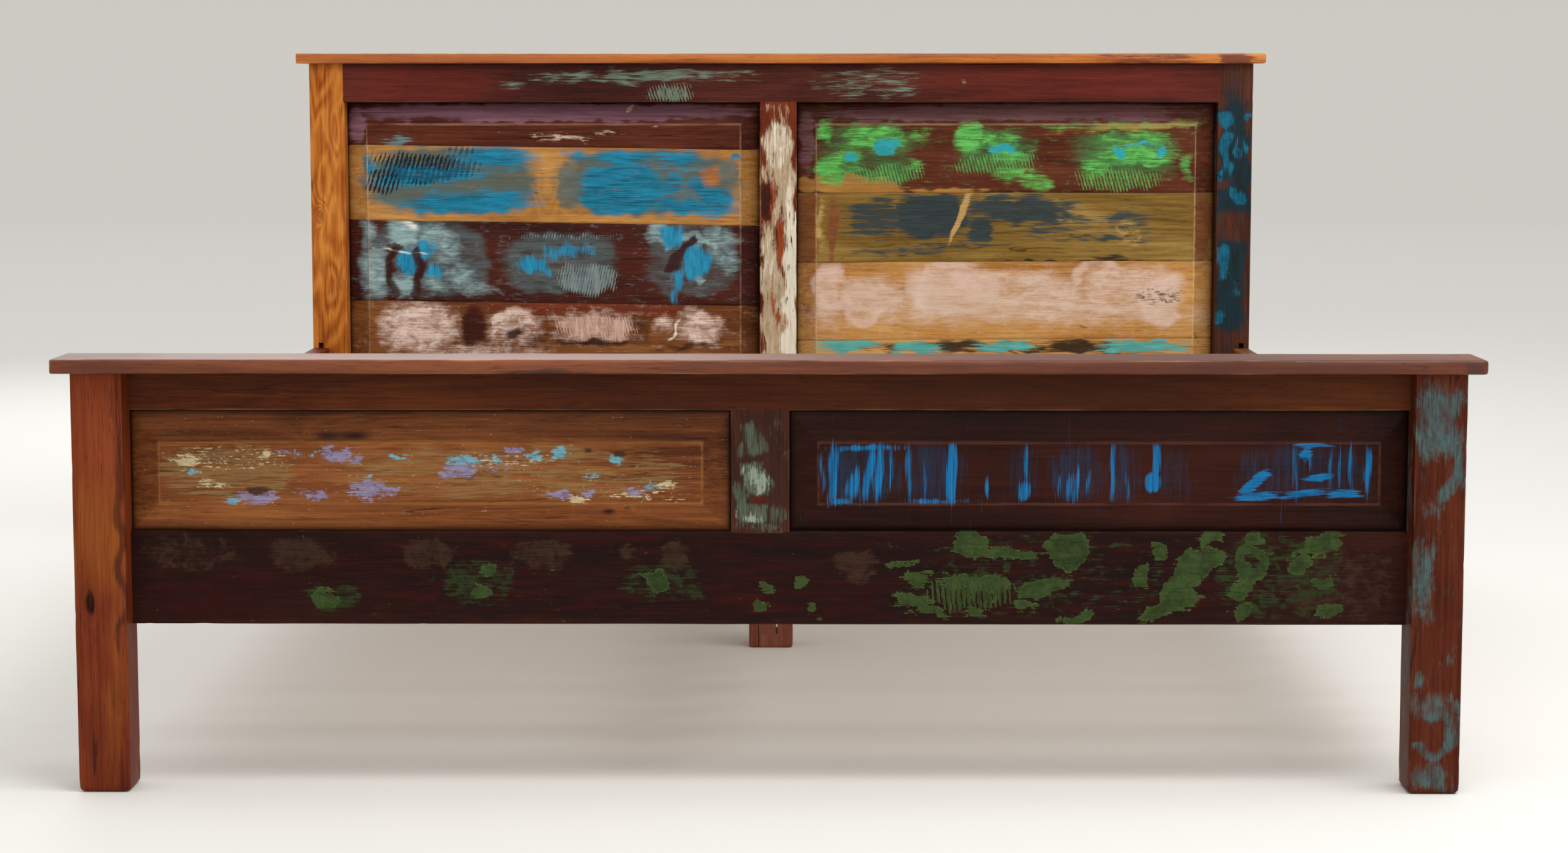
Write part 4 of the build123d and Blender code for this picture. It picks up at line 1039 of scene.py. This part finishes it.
headMidStile = {
    "material": "weatheredCreamPaintStile", "slot": "stile_weathered", "wood": "redSheesham",
    "grain": "z", "seed": 55, "step": 3.6, "rounding": 1.8, "roughness": 0.5, "edgeColour": "c8a98c",
    "coats": (
        coat("a08468", "c8b698", (9, 40), 1.15, edgeWidth=0.14, elsewhere=0.15, strokes=(
            (-42, 33, 350, 898, 0.86), (-42, 33, 898, 930, 0.35), (-42, -12, 688, 772, -0.85),
            (-12, 8, 586, 706, -0.7, 4), (-42, -18, 700, 720, -0.5))),
        coat("d2c9b4", "ece6d6", (6, 60), 1.0, edgeWidth=0.12,
             strokes=((4, 33, 350, 756, 0.9), (-36, 20, 790, 894, 0.5), (-40, -8, 560, 690, 0.42))),
        coat("7c3218", "a34e26", (7, 34), 1.1, edgeWidth=0.1, strokes=(
            (-6, 6, 588, 704, 0.85, 3), (-20, -10, 686, 774, 0.75), (-42, -36, 560, 700, 0.6),
            (-20, 0, 470, 560, 0.6, 8), (18, 32, 700, 790, 0.42))),
        coat("28140f", "42201a", (6, 26), 1.2, edgeWidth=0.08, strokes=(
            (-41, -17, 690, 770, 0.85), (-42, 33, 440, 895, 0.28), (-42, -34, 600, 700, 0.55))),
    ),
}

footMidStile = {
    "material": "waxedRedSheeshamGreyPaintStile", "slot": "stile_weathered", "wood": "smokedSheesham",
    "grain": "z", "seed": 56, "step": 3.0, "rounding": 1.5, "edgeColour": "8c6248",
    "coats": (
        coat("22140e", "3a2218", (9, 60), 0.9, strength=0.7, edgeWidth=0.35,
             strokes=((-51, 29, 352, 524, 0.75), (-46, -28, 424, 454, 0.95))),
        coat("363e30", "566050", (8, 26), 1.0, edgeWidth=0.14, elsewhere=0.1, strokes=(
            (-46, 2, 454, 508, 0.62), (-32, -3, 408, 448, 0.92, 6), (-46, -28, 378, 427, 0.8),
            (-46, -3, 368, 396, 0.9), (0, 22, 368, 397, 0.7), (-51, 28, 356, 372, 0.6),
            (2, 24, 440, 520, 0.35))),
        coat("6c766a", "949c8a", (6, 16), 1.1, edgeWidth=0.1,
             strokes=((-30, -6, 412, 445, 0.75), (-44, -4, 370, 384, 0.62))),
        coat("40160f", "5a2418", (8, 18), 0.8, strokes=((-26, -5, 388, 410, 0.95),)),
    ),
}

rails = {"head_top_rail": headTopRail, "head_bottom_rail": headBottomRail,
         "foot_top_rail": footTopRail, "foot_bottom_rail": footBottomRail}
for railName, railSpec in rails.items():
    innerRail(railName, railSpec)
innerStile("head_mid_stile", headMidStile)
innerStile("foot_mid_stile", footMidStile)
sayStage("rails and stiles")


# Caps along the tops of both boards

headCap = {
    "material": "waxedAcaciaHeadCap", "slot": "cap_wood", "wood": "goldenTeak", "seed": 61, "step": 6.0,
    "rounding": 4.0, "shine": 0.3, "wax": 0.1, "frontDepth": 200.0, "edgeColour": "d99a55",
    "coats": (
        coat("8c4426", "ac603a", (200, 18), 0.8, strength=0.85, edgeWidth=0.4, softness=60,
             strokes=((-966, -360, 990, 1030, 0.8), (-360, 100, 990, 1030, 0.5))),
        coat("5a2416", "7c3a22", (60, 9), 1.0,
             strokes=((616, 872, 1002, 1030, 0.6), (868, 942, 1002, 1030, 0.9))),
    ),
}

footCap = {
    "material": "waxedAcaciaFootCap", "slot": "cap_wood", "wood": "capAcacia", "seed": 62, "step": 6.0,
    "rounding": 5.0, "shine": 0.3, "wax": 0.1, "frontDepth": 200.0, "edgeColour": "cf9464",
    "knots": ((-320, 577, 45, 6, 0.8),),
    "coats": (
        coat("481c10", "5e2a1a", (220, 16), 0.8, strength=0.8, edgeWidth=0.4, softness=60,
             strokes=((-966, -840, 570, 600, 0.8), (100, 966, 570, 600, 0.65))),
        coat("2e1812", "4c2a1c", (60, 7), 0.95, softness=8, strokes=(
            (-372, -268, 572, 583, 0.95), (-320, -230, 570, 578, 0.8), (930, 962, 575, 592, 0.62))),
    ),
}

makeBoard("head_cap", headCap)
makeBoard("foot_cap", footCap)
sayStage("caps")


# Side rails, and the base that carries the mattress

sideRailLeft = {
    "material": "waxedRedSheeshamSideRail", "slot": "side_rail_wood", "wood": "redSheesham", "grain": "y",
    "seed": 71, "step": 9.0, "rounding": 2.5, "edgeColour": "b27a50",
}
sideRailRight = dict(sideRailLeft, seed=72, wood="brownMango",
                     material="waxedBrownMangoSideRail")
ledger = {
    "material": "planedMangoLedger", "slot": "base_wood", "wood": "rawMango", "grain": "y", "seed": 73,
    "step": 12.0, "rounding": 1.5, "wax": 0.0, "roughness": 0.55,
}
centreBeam = dict(ledger, seed=75, material="planedMangoBeam")
legBlock = {
    "material": "waxedRedSheeshamLegBlock", "slot": "leg_wood", "wood": "pinkSheesham", "grain": "z",
    "seed": 76, "step": 5.0, "rounding": 4.0, "knocks": 4, "edgeColour": "a86c50",
    "cuts": (((-31.0, 39.0, 24.0), (2.5, 111.0, 312.0)),),
}
legCheek = dict(legBlock, seed=77, material="waxedRedSheeshamLegCheek", cuts=())
legPacker = dict(legBlock, seed=78, material="waxedRedSheeshamLegPacker", cuts=(), rounding=1.0)

makeBoard("side_rail_left", sideRailLeft)
makeBoard("side_rail_right", sideRailRight)
makeBoard("ledger_left", ledger)
makeBoard("ledger_right", dict(ledger, seed=74, material="planedMangoLedgerRight"))
makeBoard("centre_beam", centreBeam)
makeBoard("centre_leg_block", legBlock)
makeBoard("centre_leg_cheek", legCheek)
makeBoard("centre_leg_packer", legPacker)
sayStage("side rails, ledgers, beam and leg")


# What repeats is made with Geometry Nodes: slats, screws, pins and pegs

def newTree(name, sizes, hasInput):
    tree = bpy.data.node_groups.new(name, "GeometryNodeTree")
    tree.interface.new_socket("Geometry", in_out="OUTPUT", socket_type="NodeSocketGeometry")
    if hasInput:
        tree.interface.new_socket("Points", in_out="INPUT", socket_type="NodeSocketGeometry")
    for label, value in sizes.items():
        kind = "NodeSocketInt" if isinstance(value, int) else "NodeSocketFloat"
        tree.interface.new_socket(label, in_out="INPUT", socket_type=kind)
    start = tree.nodes.new("NodeGroupInput")
    return tree, partial(addNode, tree), start.outputs


def applyTree(name, tree, sizes, base=None):
    # runs the tree on a piece and keeps the result as a plain mesh
    piece = makePiece(name, base or bpy.data.meshes.new(name))
    repeat = piece.modifiers.new("repeat", "NODES")
    repeat.node_group = tree
    for item in tree.interface.items_tree:
        if item.in_out == "INPUT" and item.name in sizes:
            repeat[item.identifier] = sizes[item.name]
    depsgraph = bpy.context.evaluated_depsgraph_get()
    mesh = bpy.data.meshes.new_from_object(piece.evaluated_get(depsgraph))
    piece.modifiers.remove(repeat)
    piece.data = mesh
    return piece


def endTree(tree, geometry, material):
    geometry = addNode(tree, "GeometryNodeRealizeInstances", (geometry,))
    geometry = addNode(tree, "GeometryNodeSetMaterial", {"Geometry": geometry, "Material": material})
    addNode(tree, "NodeGroupOutput", (geometry,))


slats = {
    "material": "planedMangoSlats", "slot": "base_wood", "wood": "rawMango", "seed": 81, "wax": 0.0,
    "roughness": 0.6, "toneName": "tone",
    "sizes": {"Count": 14, "Edge Radius": 0.0020, "Seed": 5},
}


def slatTree(spec, material):
    tree, add, given = newTree("slatRow", spec["sizes"], False)
    outline = add("GeometryNodeCurvePrimitiveQuadrilateral",
                  {"Width": given["Width"], "Height": given["Thickness"]})
    outline = add("GeometryNodeFilletCurve", {"Curve": outline, "Radius": given["Edge Radius"], "Count": 3},
                  mode="POLY")
    halfLength = add("ShaderNodeMath", (given["Length"], 0.5), operation="MULTIPLY")
    minusHalf = add("ShaderNodeMath", (given["Length"], -0.5), operation="MULTIPLY")
    left = add("ShaderNodeCombineXYZ", {"X": minusHalf})
    right = add("ShaderNodeCombineXYZ", {"X": halfLength})
    line = add("GeometryNodeCurvePrimitiveLine", {"Start": left, "End": right})
    line = add("GeometryNodeResampleCurve", {"Curve": line, "Count": 90})
    board = add("GeometryNodeCurveToMesh", {"Curve": line, "Profile Curve": outline, "Fill Caps": True})
    step = add("ShaderNodeCombineXYZ", {"Y": given["Pitch"]})
    span = add("ShaderNodeMath", (given["Count"], 1.0), operation="SUBTRACT")
    first = add("ShaderNodeMath", (span, given["Pitch"]), operation="MULTIPLY")
    first = add("ShaderNodeMath", (first, -0.5), operation="MULTIPLY")
    begin = add("ShaderNodeCombineXYZ", {"Y": first, "Z": given["Height"]})
    places = add("GeometryNodeMeshLine", {"Count": given["Count"], "Start Location": begin, "Offset": step})
    sizes = add("FunctionNodeRandomValue",
                {0: (0.997, 0.975, 0.985), 1: (0.9995, 0.995, 0.995), "Seed": given["Seed"]},
                data_type="FLOAT_VECTOR")
    row = add("GeometryNodeInstanceOnPoints", {"Points": places, "Instance": board, "Scale": sizes})
    tones = add("FunctionNodeRandomValue", {2: -0.13, 3: 0.13, "Seed": given["Seed"]}, out=1,
                data_type="FLOAT")
    row = add("GeometryNodeStoreNamedAttribute", {"Geometry": row, "Name": "tone", "Value": tones},
              data_type="FLOAT", domain="INSTANCE")
    endTree(tree, row, material)
    return tree


firstLow, firstHigh = nodeBox("slat_01")
secondLow, secondHigh = nodeBox("slat_02")
slats["sizes"].update({
    "Length": float(firstHigh[0] - firstLow[0]) * mm,
    "Width": float(firstHigh[1] - firstLow[1]) * mm,
    "Thickness": float(firstHigh[2] - firstLow[2]) * mm,
    "Pitch": float(secondLow[1] - firstLow[1]) * mm,
    "Height": float(firstHigh[2] + firstLow[2]) / 2 * mm,
})
slatWood = woodMaterial(slats["material"], slats)
slatRow = applyTree("slats", slatTree(slats, slatWood), slats["sizes"])
finishPiece(slatRow, slats, slatWood, [n for n in nodes if n.startswith("slat_") and n[5:].isdigit()])
sayStage("slats")


def steelMaterial(name, spec):
    # rolled or drawn steel: an even metal gleam, broken by faint scratches and dull spots
    material, add = newMaterial(name)
    place = add("ShaderNodeTexCoord", out="Object")
    spots = add("ShaderNodeTexNoise",
                {"Vector": place, "Scale": 1000 / spec["spotSize"], "Detail": 4.0, "Roughness": 0.6},
                out="Fac")
    scratches = add("ShaderNodeMapping", {"Vector": place, "Scale": (1000 / 0.8, 1000 / 0.8, 1000 / 16)})
    scratches = add("ShaderNodeTexNoise", {"Vector": scratches, "Scale": 1.0, "Detail": 2.0}, out="Fac")
    colour = add("ShaderNodeValToRGB", {"Fac": spots}, out="Color",
                 stops=[(0.36, spec["colours"][0]), (0.64, spec["colours"][1])])
    gloss = add("ShaderNodeMapRange",
                {"Value": spots, "From Min": 0.3, "From Max": 0.7, "To Min": spec["roughness"] - 0.08,
                 "To Max": spec["roughness"] + 0.12})
    bump = add("ShaderNodeBump", {"Strength": 0.25, "Distance": 0.0002, "Height": scratches})
    shader = add("ShaderNodeBsdfPrincipled",
                 {"Base Color": colour, "Metallic": 1.0, "Roughness": gloss,
                  "Normal": bump})
    add("ShaderNodeOutputMaterial", {"Surface": shader})
    return material


steels = {
    "zincPlatedSteel": {"colours": ("8f8a78", "c4bfa8"), "roughness": 0.36, "spotSize": 4.0},
    "hotRolledHookSteel": {"colours": ("4a4640", "7a756a"), "roughness": 0.45, "spotSize": 9.0},
    "galvanisedHangerSteel": {"colours": ("8d9092", "b9bcbd"), "roughness": 0.4, "spotSize": 7.0},
}
zincPlatedSteel, hotRolledHookSteel, galvanisedHangerSteel = (
    steelMaterial(name, spec) for name, spec in steels.items())


def fastenerPoints(name, places):
    # one vertex where each head lies, with the direction that the fastener goes in
    mesh = bpy.data.meshes.new(name)
    mesh.from_pydata([tuple(c * mm for c in place) for place, _ in places], [], [])
    aim = mesh.attributes.new("aim", "FLOAT_VECTOR", "POINT")
    aim.data.foreach_set("vector", [-float(c) for _, way in places for c in way])
    return mesh


def fastenerTree(name, sizes, material, recessed):
    # a tapered head on a plain shank, turned a little differently each time
    tree, add, given = newTree(name, sizes, True)
    down = add("ShaderNodeMath", (given["Head Height"], -1.0), operation="MULTIPLY")
    headPlace = add("ShaderNodeCombineXYZ", {"Z": down})
    head = add("GeometryNodeMeshCone",
               {"Vertices": 24, "Radius Top": given["Head Radius"], "Radius Bottom": given["Shank Radius"],
                "Depth": given["Head Height"]})
    head = add("GeometryNodeTransform", {"Geometry": head, "Translation": headPlace})
    shaft = add("GeometryNodeMeshCylinder",
                {"Vertices": 16, "Radius": given["Shank Radius"], "Depth": given["Shank Length"]})
    halfShaft = add("ShaderNodeMath", (given["Shank Length"], -0.5, down), operation="MULTIPLY_ADD")
    shaftPlace = add("ShaderNodeCombineXYZ", {"Z": halfShaft})
    shaft = add("GeometryNodeTransform", {"Geometry": shaft, "Translation": shaftPlace})
    if recessed:
        wide = add("ShaderNodeMath", (given["Head Radius"], 1.1), operation="MULTIPLY")
        deep = add("ShaderNodeMath", (given["Head Height"], 0.9), operation="MULTIPLY")
        cut = tree.nodes.new("GeometryNodeMeshBoolean")
        cut.operation, cut.solver = "DIFFERENCE", "EXACT"
        tree.links.new(head, cut.inputs["Mesh 1"])
        for turn in (0.0, math.pi / 2):
            size = add("ShaderNodeCombineXYZ", {"X": wide, "Y": given["Recess Width"], "Z": deep})
            blade = add("GeometryNodeMeshCube", {"Size": size})
            blade = add("GeometryNodeTransform", {"Geometry": blade, "Rotation": (0.0, 0.0, turn)})
            tree.links.new(blade, cut.inputs["Mesh 2"])
        head = cut.outputs["Mesh"]
    join = tree.nodes.new("GeometryNodeJoinGeometry")
    tree.links.new(head, join.inputs[0])
    tree.links.new(shaft, join.inputs[0])
    aim = add("GeometryNodeInputNamedAttribute", {"Name": "aim"}, data_type="FLOAT_VECTOR")
    facing = add("FunctionNodeAlignRotationToVector", {"Vector": aim}, axis="Z")
    turned = add("FunctionNodeRandomValue", {2: 0.0, 3: 3.1, "Seed": given["Seed"]}, out=1,
                 data_type="FLOAT")
    spin = add("ShaderNodeCombineXYZ", {"Z": turned})
    spin = add("FunctionNodeEulerToRotation", (spin,))
    facing = add("FunctionNodeRotateRotation", (facing, spin), rotation_space="LOCAL")
    row = add("GeometryNodeInstanceOnPoints",
              {"Points": given["Points"], "Instance": join.outputs[0], "Rotation": facing})
    endTree(tree, row, material)
    return tree


def makeFasteners(name, spec, material, places, recessed):
    tree = fastenerTree(name + "Tree", spec["sizes"], material, recessed)
    piece = applyTree(name, tree, spec["sizes"], fastenerPoints(name, places))
    finishPiece(piece, spec, material, [name])


ledgerLow, ledgerHigh = nodeBox("ledger_right")
beamLow, beamHigh = nodeBox("centre_beam")
slatMiddles = [float(sum(c[1] for c in nodeBox(f"slat_{i:02d}"))) / 2 for i in range(1, 15)]
ledgerMiddle = (ledgerLow[0] + ledgerHigh[0]) / 2
beamMiddle = (beamLow[0] + beamHigh[0]) / 2
slatTop = firstHigh[2] - 0.7
railEnd = railHigh[1]

slatScrewPlaces = [((x, y, slatTop), (0, 0, -1))
                   for x in (-ledgerMiddle, beamMiddle, ledgerMiddle) for y in slatMiddles]
hookScrewPlaces = [((side * railLow[0], end * (railEnd - 30), z), (side, 0, 0))
                   for side in (-1, 1) for end in (-1, 1) for z in (410.0, 380.0, 350.0)]
ledgerScrewPlaces = [((side * ledgerLow[0], (a + b) / 2, 307.0), (side, 0, 0))
                     for side in (-1, 1)
                     for a, b in list(zip(slatMiddles, slatMiddles[1:]))[::2]]
pegOut, pinOut, hangerScrewOut = 889.5, 940.8, 28.2  # from the middle of the bed
hangerScrewPlaces = []
for hangerName, side in (("beam_hanger_foot", -1), ("beam_hanger_head", 1)):
    hangerLow, hangerHigh = nodeBox(hangerName)
    plateY = hangerLow[1] + 2.5 if side < 0 else hangerHigh[1] - 2.5
    for turn in (-1, 1):
        for z in (hangerLow[2] + 20.5, hangerHigh[2] - 18.0):
            hangerScrewPlaces.append(((beamMiddle + turn * hangerScrewOut, plateY, z), (0, side, 0)))
pinPlaces = [((side * pinOut, end * (railEnd + 15), z), (-side, 0, 0))
             for side in (-1, 1) for end in (-1, 1) for z in (405.0, 310.0)]
pegPlaces = []
for boardName in ("foot", "head"):
    postBack = nodeBox(f"{boardName}_post_left")[1][1]
    topLow, topHigh = (c[2] for c in nodeBox(f"{boardName}_top_rail"))
    bottomLow, bottomHigh = (c[2] for c in nodeBox(f"{boardName}_bottom_rail"))
    tenonLow, tenonHigh = bottomLow + 8, bottomHigh - 14
    quarter = (tenonHigh - tenonLow) / 4
    heights = ((topLow + 14 + topHigh - 8) / 2, tenonLow + quarter, tenonHigh - quarter)
    for side in (-1, 1):
        for z in heights:
            pegPlaces.append(((side * pegOut, postBack - 0.05, z), (0, -1, 0)))

woodScrews = {
    "slot": "screw_steel", "crease": 40,
    "sizes": {"Head Radius": 0.0042, "Head Height": 0.0026, "Shank Radius": 0.0020,
              "Shank Length": 0.0180, "Recess Width": 0.0011, "Seed": 3},
}
hookPins = {
    "slot": "hook_steel", "crease": 40,
    "sizes": {"Head Radius": 0.0026, "Head Height": 0.0005, "Shank Radius": 0.0030,
              "Shank Length": 0.0280, "Seed": 4},
}
tenonPegs = {
    "material": "rivenHardwoodPegs", "slot": "dowel_wood", "wood": "tanMango", "grain": "y", "seed": 91,
    "crease": 40,
    "sizes": {"Head Radius": 0.0026, "Head Height": 0.0004, "Shank Radius": 0.0030,
              "Shank Length": 0.0300, "Seed": 6},
}
pegWood = woodMaterial(tenonPegs["material"], tenonPegs)
screwPlaces = {"slat_screws": slatScrewPlaces, "hook_plate_screws": hookScrewPlaces,
               "ledger_screws": ledgerScrewPlaces, "hanger_screws": hangerScrewPlaces}
for screwName, places in screwPlaces.items():
    makeFasteners(screwName, woodScrews, zincPlatedSteel, places, True)
makeFasteners("hook_pins", hookPins, hotRolledHookSteel, pinPlaces, False)
makeFasteners("tenon_pegs", tenonPegs, pegWood, pegPlaces, False)
sayStage("screws, pins and pegs")

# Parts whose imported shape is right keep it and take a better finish
finishes = {
    "hook_plate_foot_left": hotRolledHookSteel,
    "hook_plate_foot_right": hotRolledHookSteel,
    "hook_plate_head_left": hotRolledHookSteel,
    "hook_plate_head_right": hotRolledHookSteel,
    "beam_hanger_foot": galvanisedHangerSteel,
    "beam_hanger_head": galvanisedHangerSteel,
    "centre_leg_bolts": zincPlatedSteel,
    "cap_dowels": pegWood,
}
for nodeName, finish in finishes.items():
    for holder in nodes[nodeName].material_slots:
        holder.material = finish
sayStage("metal parts and dowels")


# Studio: a pale floor, a big soft light overhead and a softer one in front

studio = {
    "floorColour": "e9e7e3",
    "worldColour": "f4f4f2",
    "worldStrength": 0.9,
    "lights": (
        # name, place in m, aimed at, width and height in m, power in W
        ("softboxAbove", (1.5, -1.7, 3.4), (0.0, 0.2, 0.4), (3.2, 1.8), 90),
        ("softboxFront", (0.6, -6.0, 2.2), (0.0, 0.0, 0.5), (4.0, 2.6), 45),
        ("softboxBehind", (-1.5, 4.5, 3.0), (0.0, 0.5, 0.5), (3.0, 2.0), 60),
    ),
}

floorMaterial, add = newMaterial("paintedStudioFloor")
floorPaint = add("ShaderNodeBsdfPrincipled", {"Base Color": studio["floorColour"], "Roughness": 0.85})
add("ShaderNodeOutputMaterial", {"Surface": floorPaint})
floorMesh = bpy.data.meshes.new("floor")
# a round floor that sweeps up into a low wall, as (radius, height) in m
sweep = [(18.0, 0.0), (19.6, 0.2), (21.0, 0.8), (22.0, 1.8), (22.6, 3.2), (22.8, 4.8), (22.8, 8.4)]
turns = 96
rings = [(r * math.cos(2 * math.pi * i / turns), r * math.sin(2 * math.pi * i / turns), z)
         for r, z in sweep for i in range(turns)]
ringFaces = [(k * turns + i, (k + 1) * turns + i,
              (k + 1) * turns + (i + 1) % turns, k * turns + (i + 1) % turns)
             for k in range(len(sweep) - 1) for i in range(turns)]
floorMesh.from_pydata(rings, [], [tuple(range(turns))] + ringFaces)
floorMesh.shade_smooth()
floorMesh.materials.append(floorMaterial)
floor = makePiece("floor", floorMesh)

world = bpy.data.worlds.new("studio")
world.use_nodes = True
world.node_tree.nodes.clear()
sky = addNode(world.node_tree,  "ShaderNodeBackground",
                               {"Color": studio["worldColour"], "Strength": studio["worldStrength"]})
addNode(world.node_tree, "ShaderNodeOutputWorld", {"Surface": sky})
bpy.context.scene.world = world

for lightName, place, target, size, power in studio["lights"]:
    light = bpy.data.lights.new(lightName, "AREA")
    light.shape = "RECTANGLE"
    light.size, light.size_y = size
    light.energy = power
    lamp = bpy.data.objects.new(lightName, light)
    lamp.location = place
    lamp.rotation_euler = (Vector(target) - Vector(place)).to_track_quat("-Z", "Y").to_euler()
    bpy.context.collection.objects.link(lamp)

view = {"place": (0.0518, -5.282, 0.9595), "down": 6.182, "turn": 0.41, "lens": 71.99}
cameraData = bpy.data.cameras.new("camera")
cameraData.lens = view["lens"]
cameraData.sensor_width = 36
camera = bpy.data.objects.new("camera", cameraData)
camera.location = view["place"]
camera.rotation_euler = (math.radians(90 - view["down"]), 0, math.radians(view["turn"]))
bpy.context.collection.objects.link(camera)
bpy.context.scene.camera = camera
bpy.context.scene.view_settings.view_transform = "Standard"
sayStage("studio and camera")
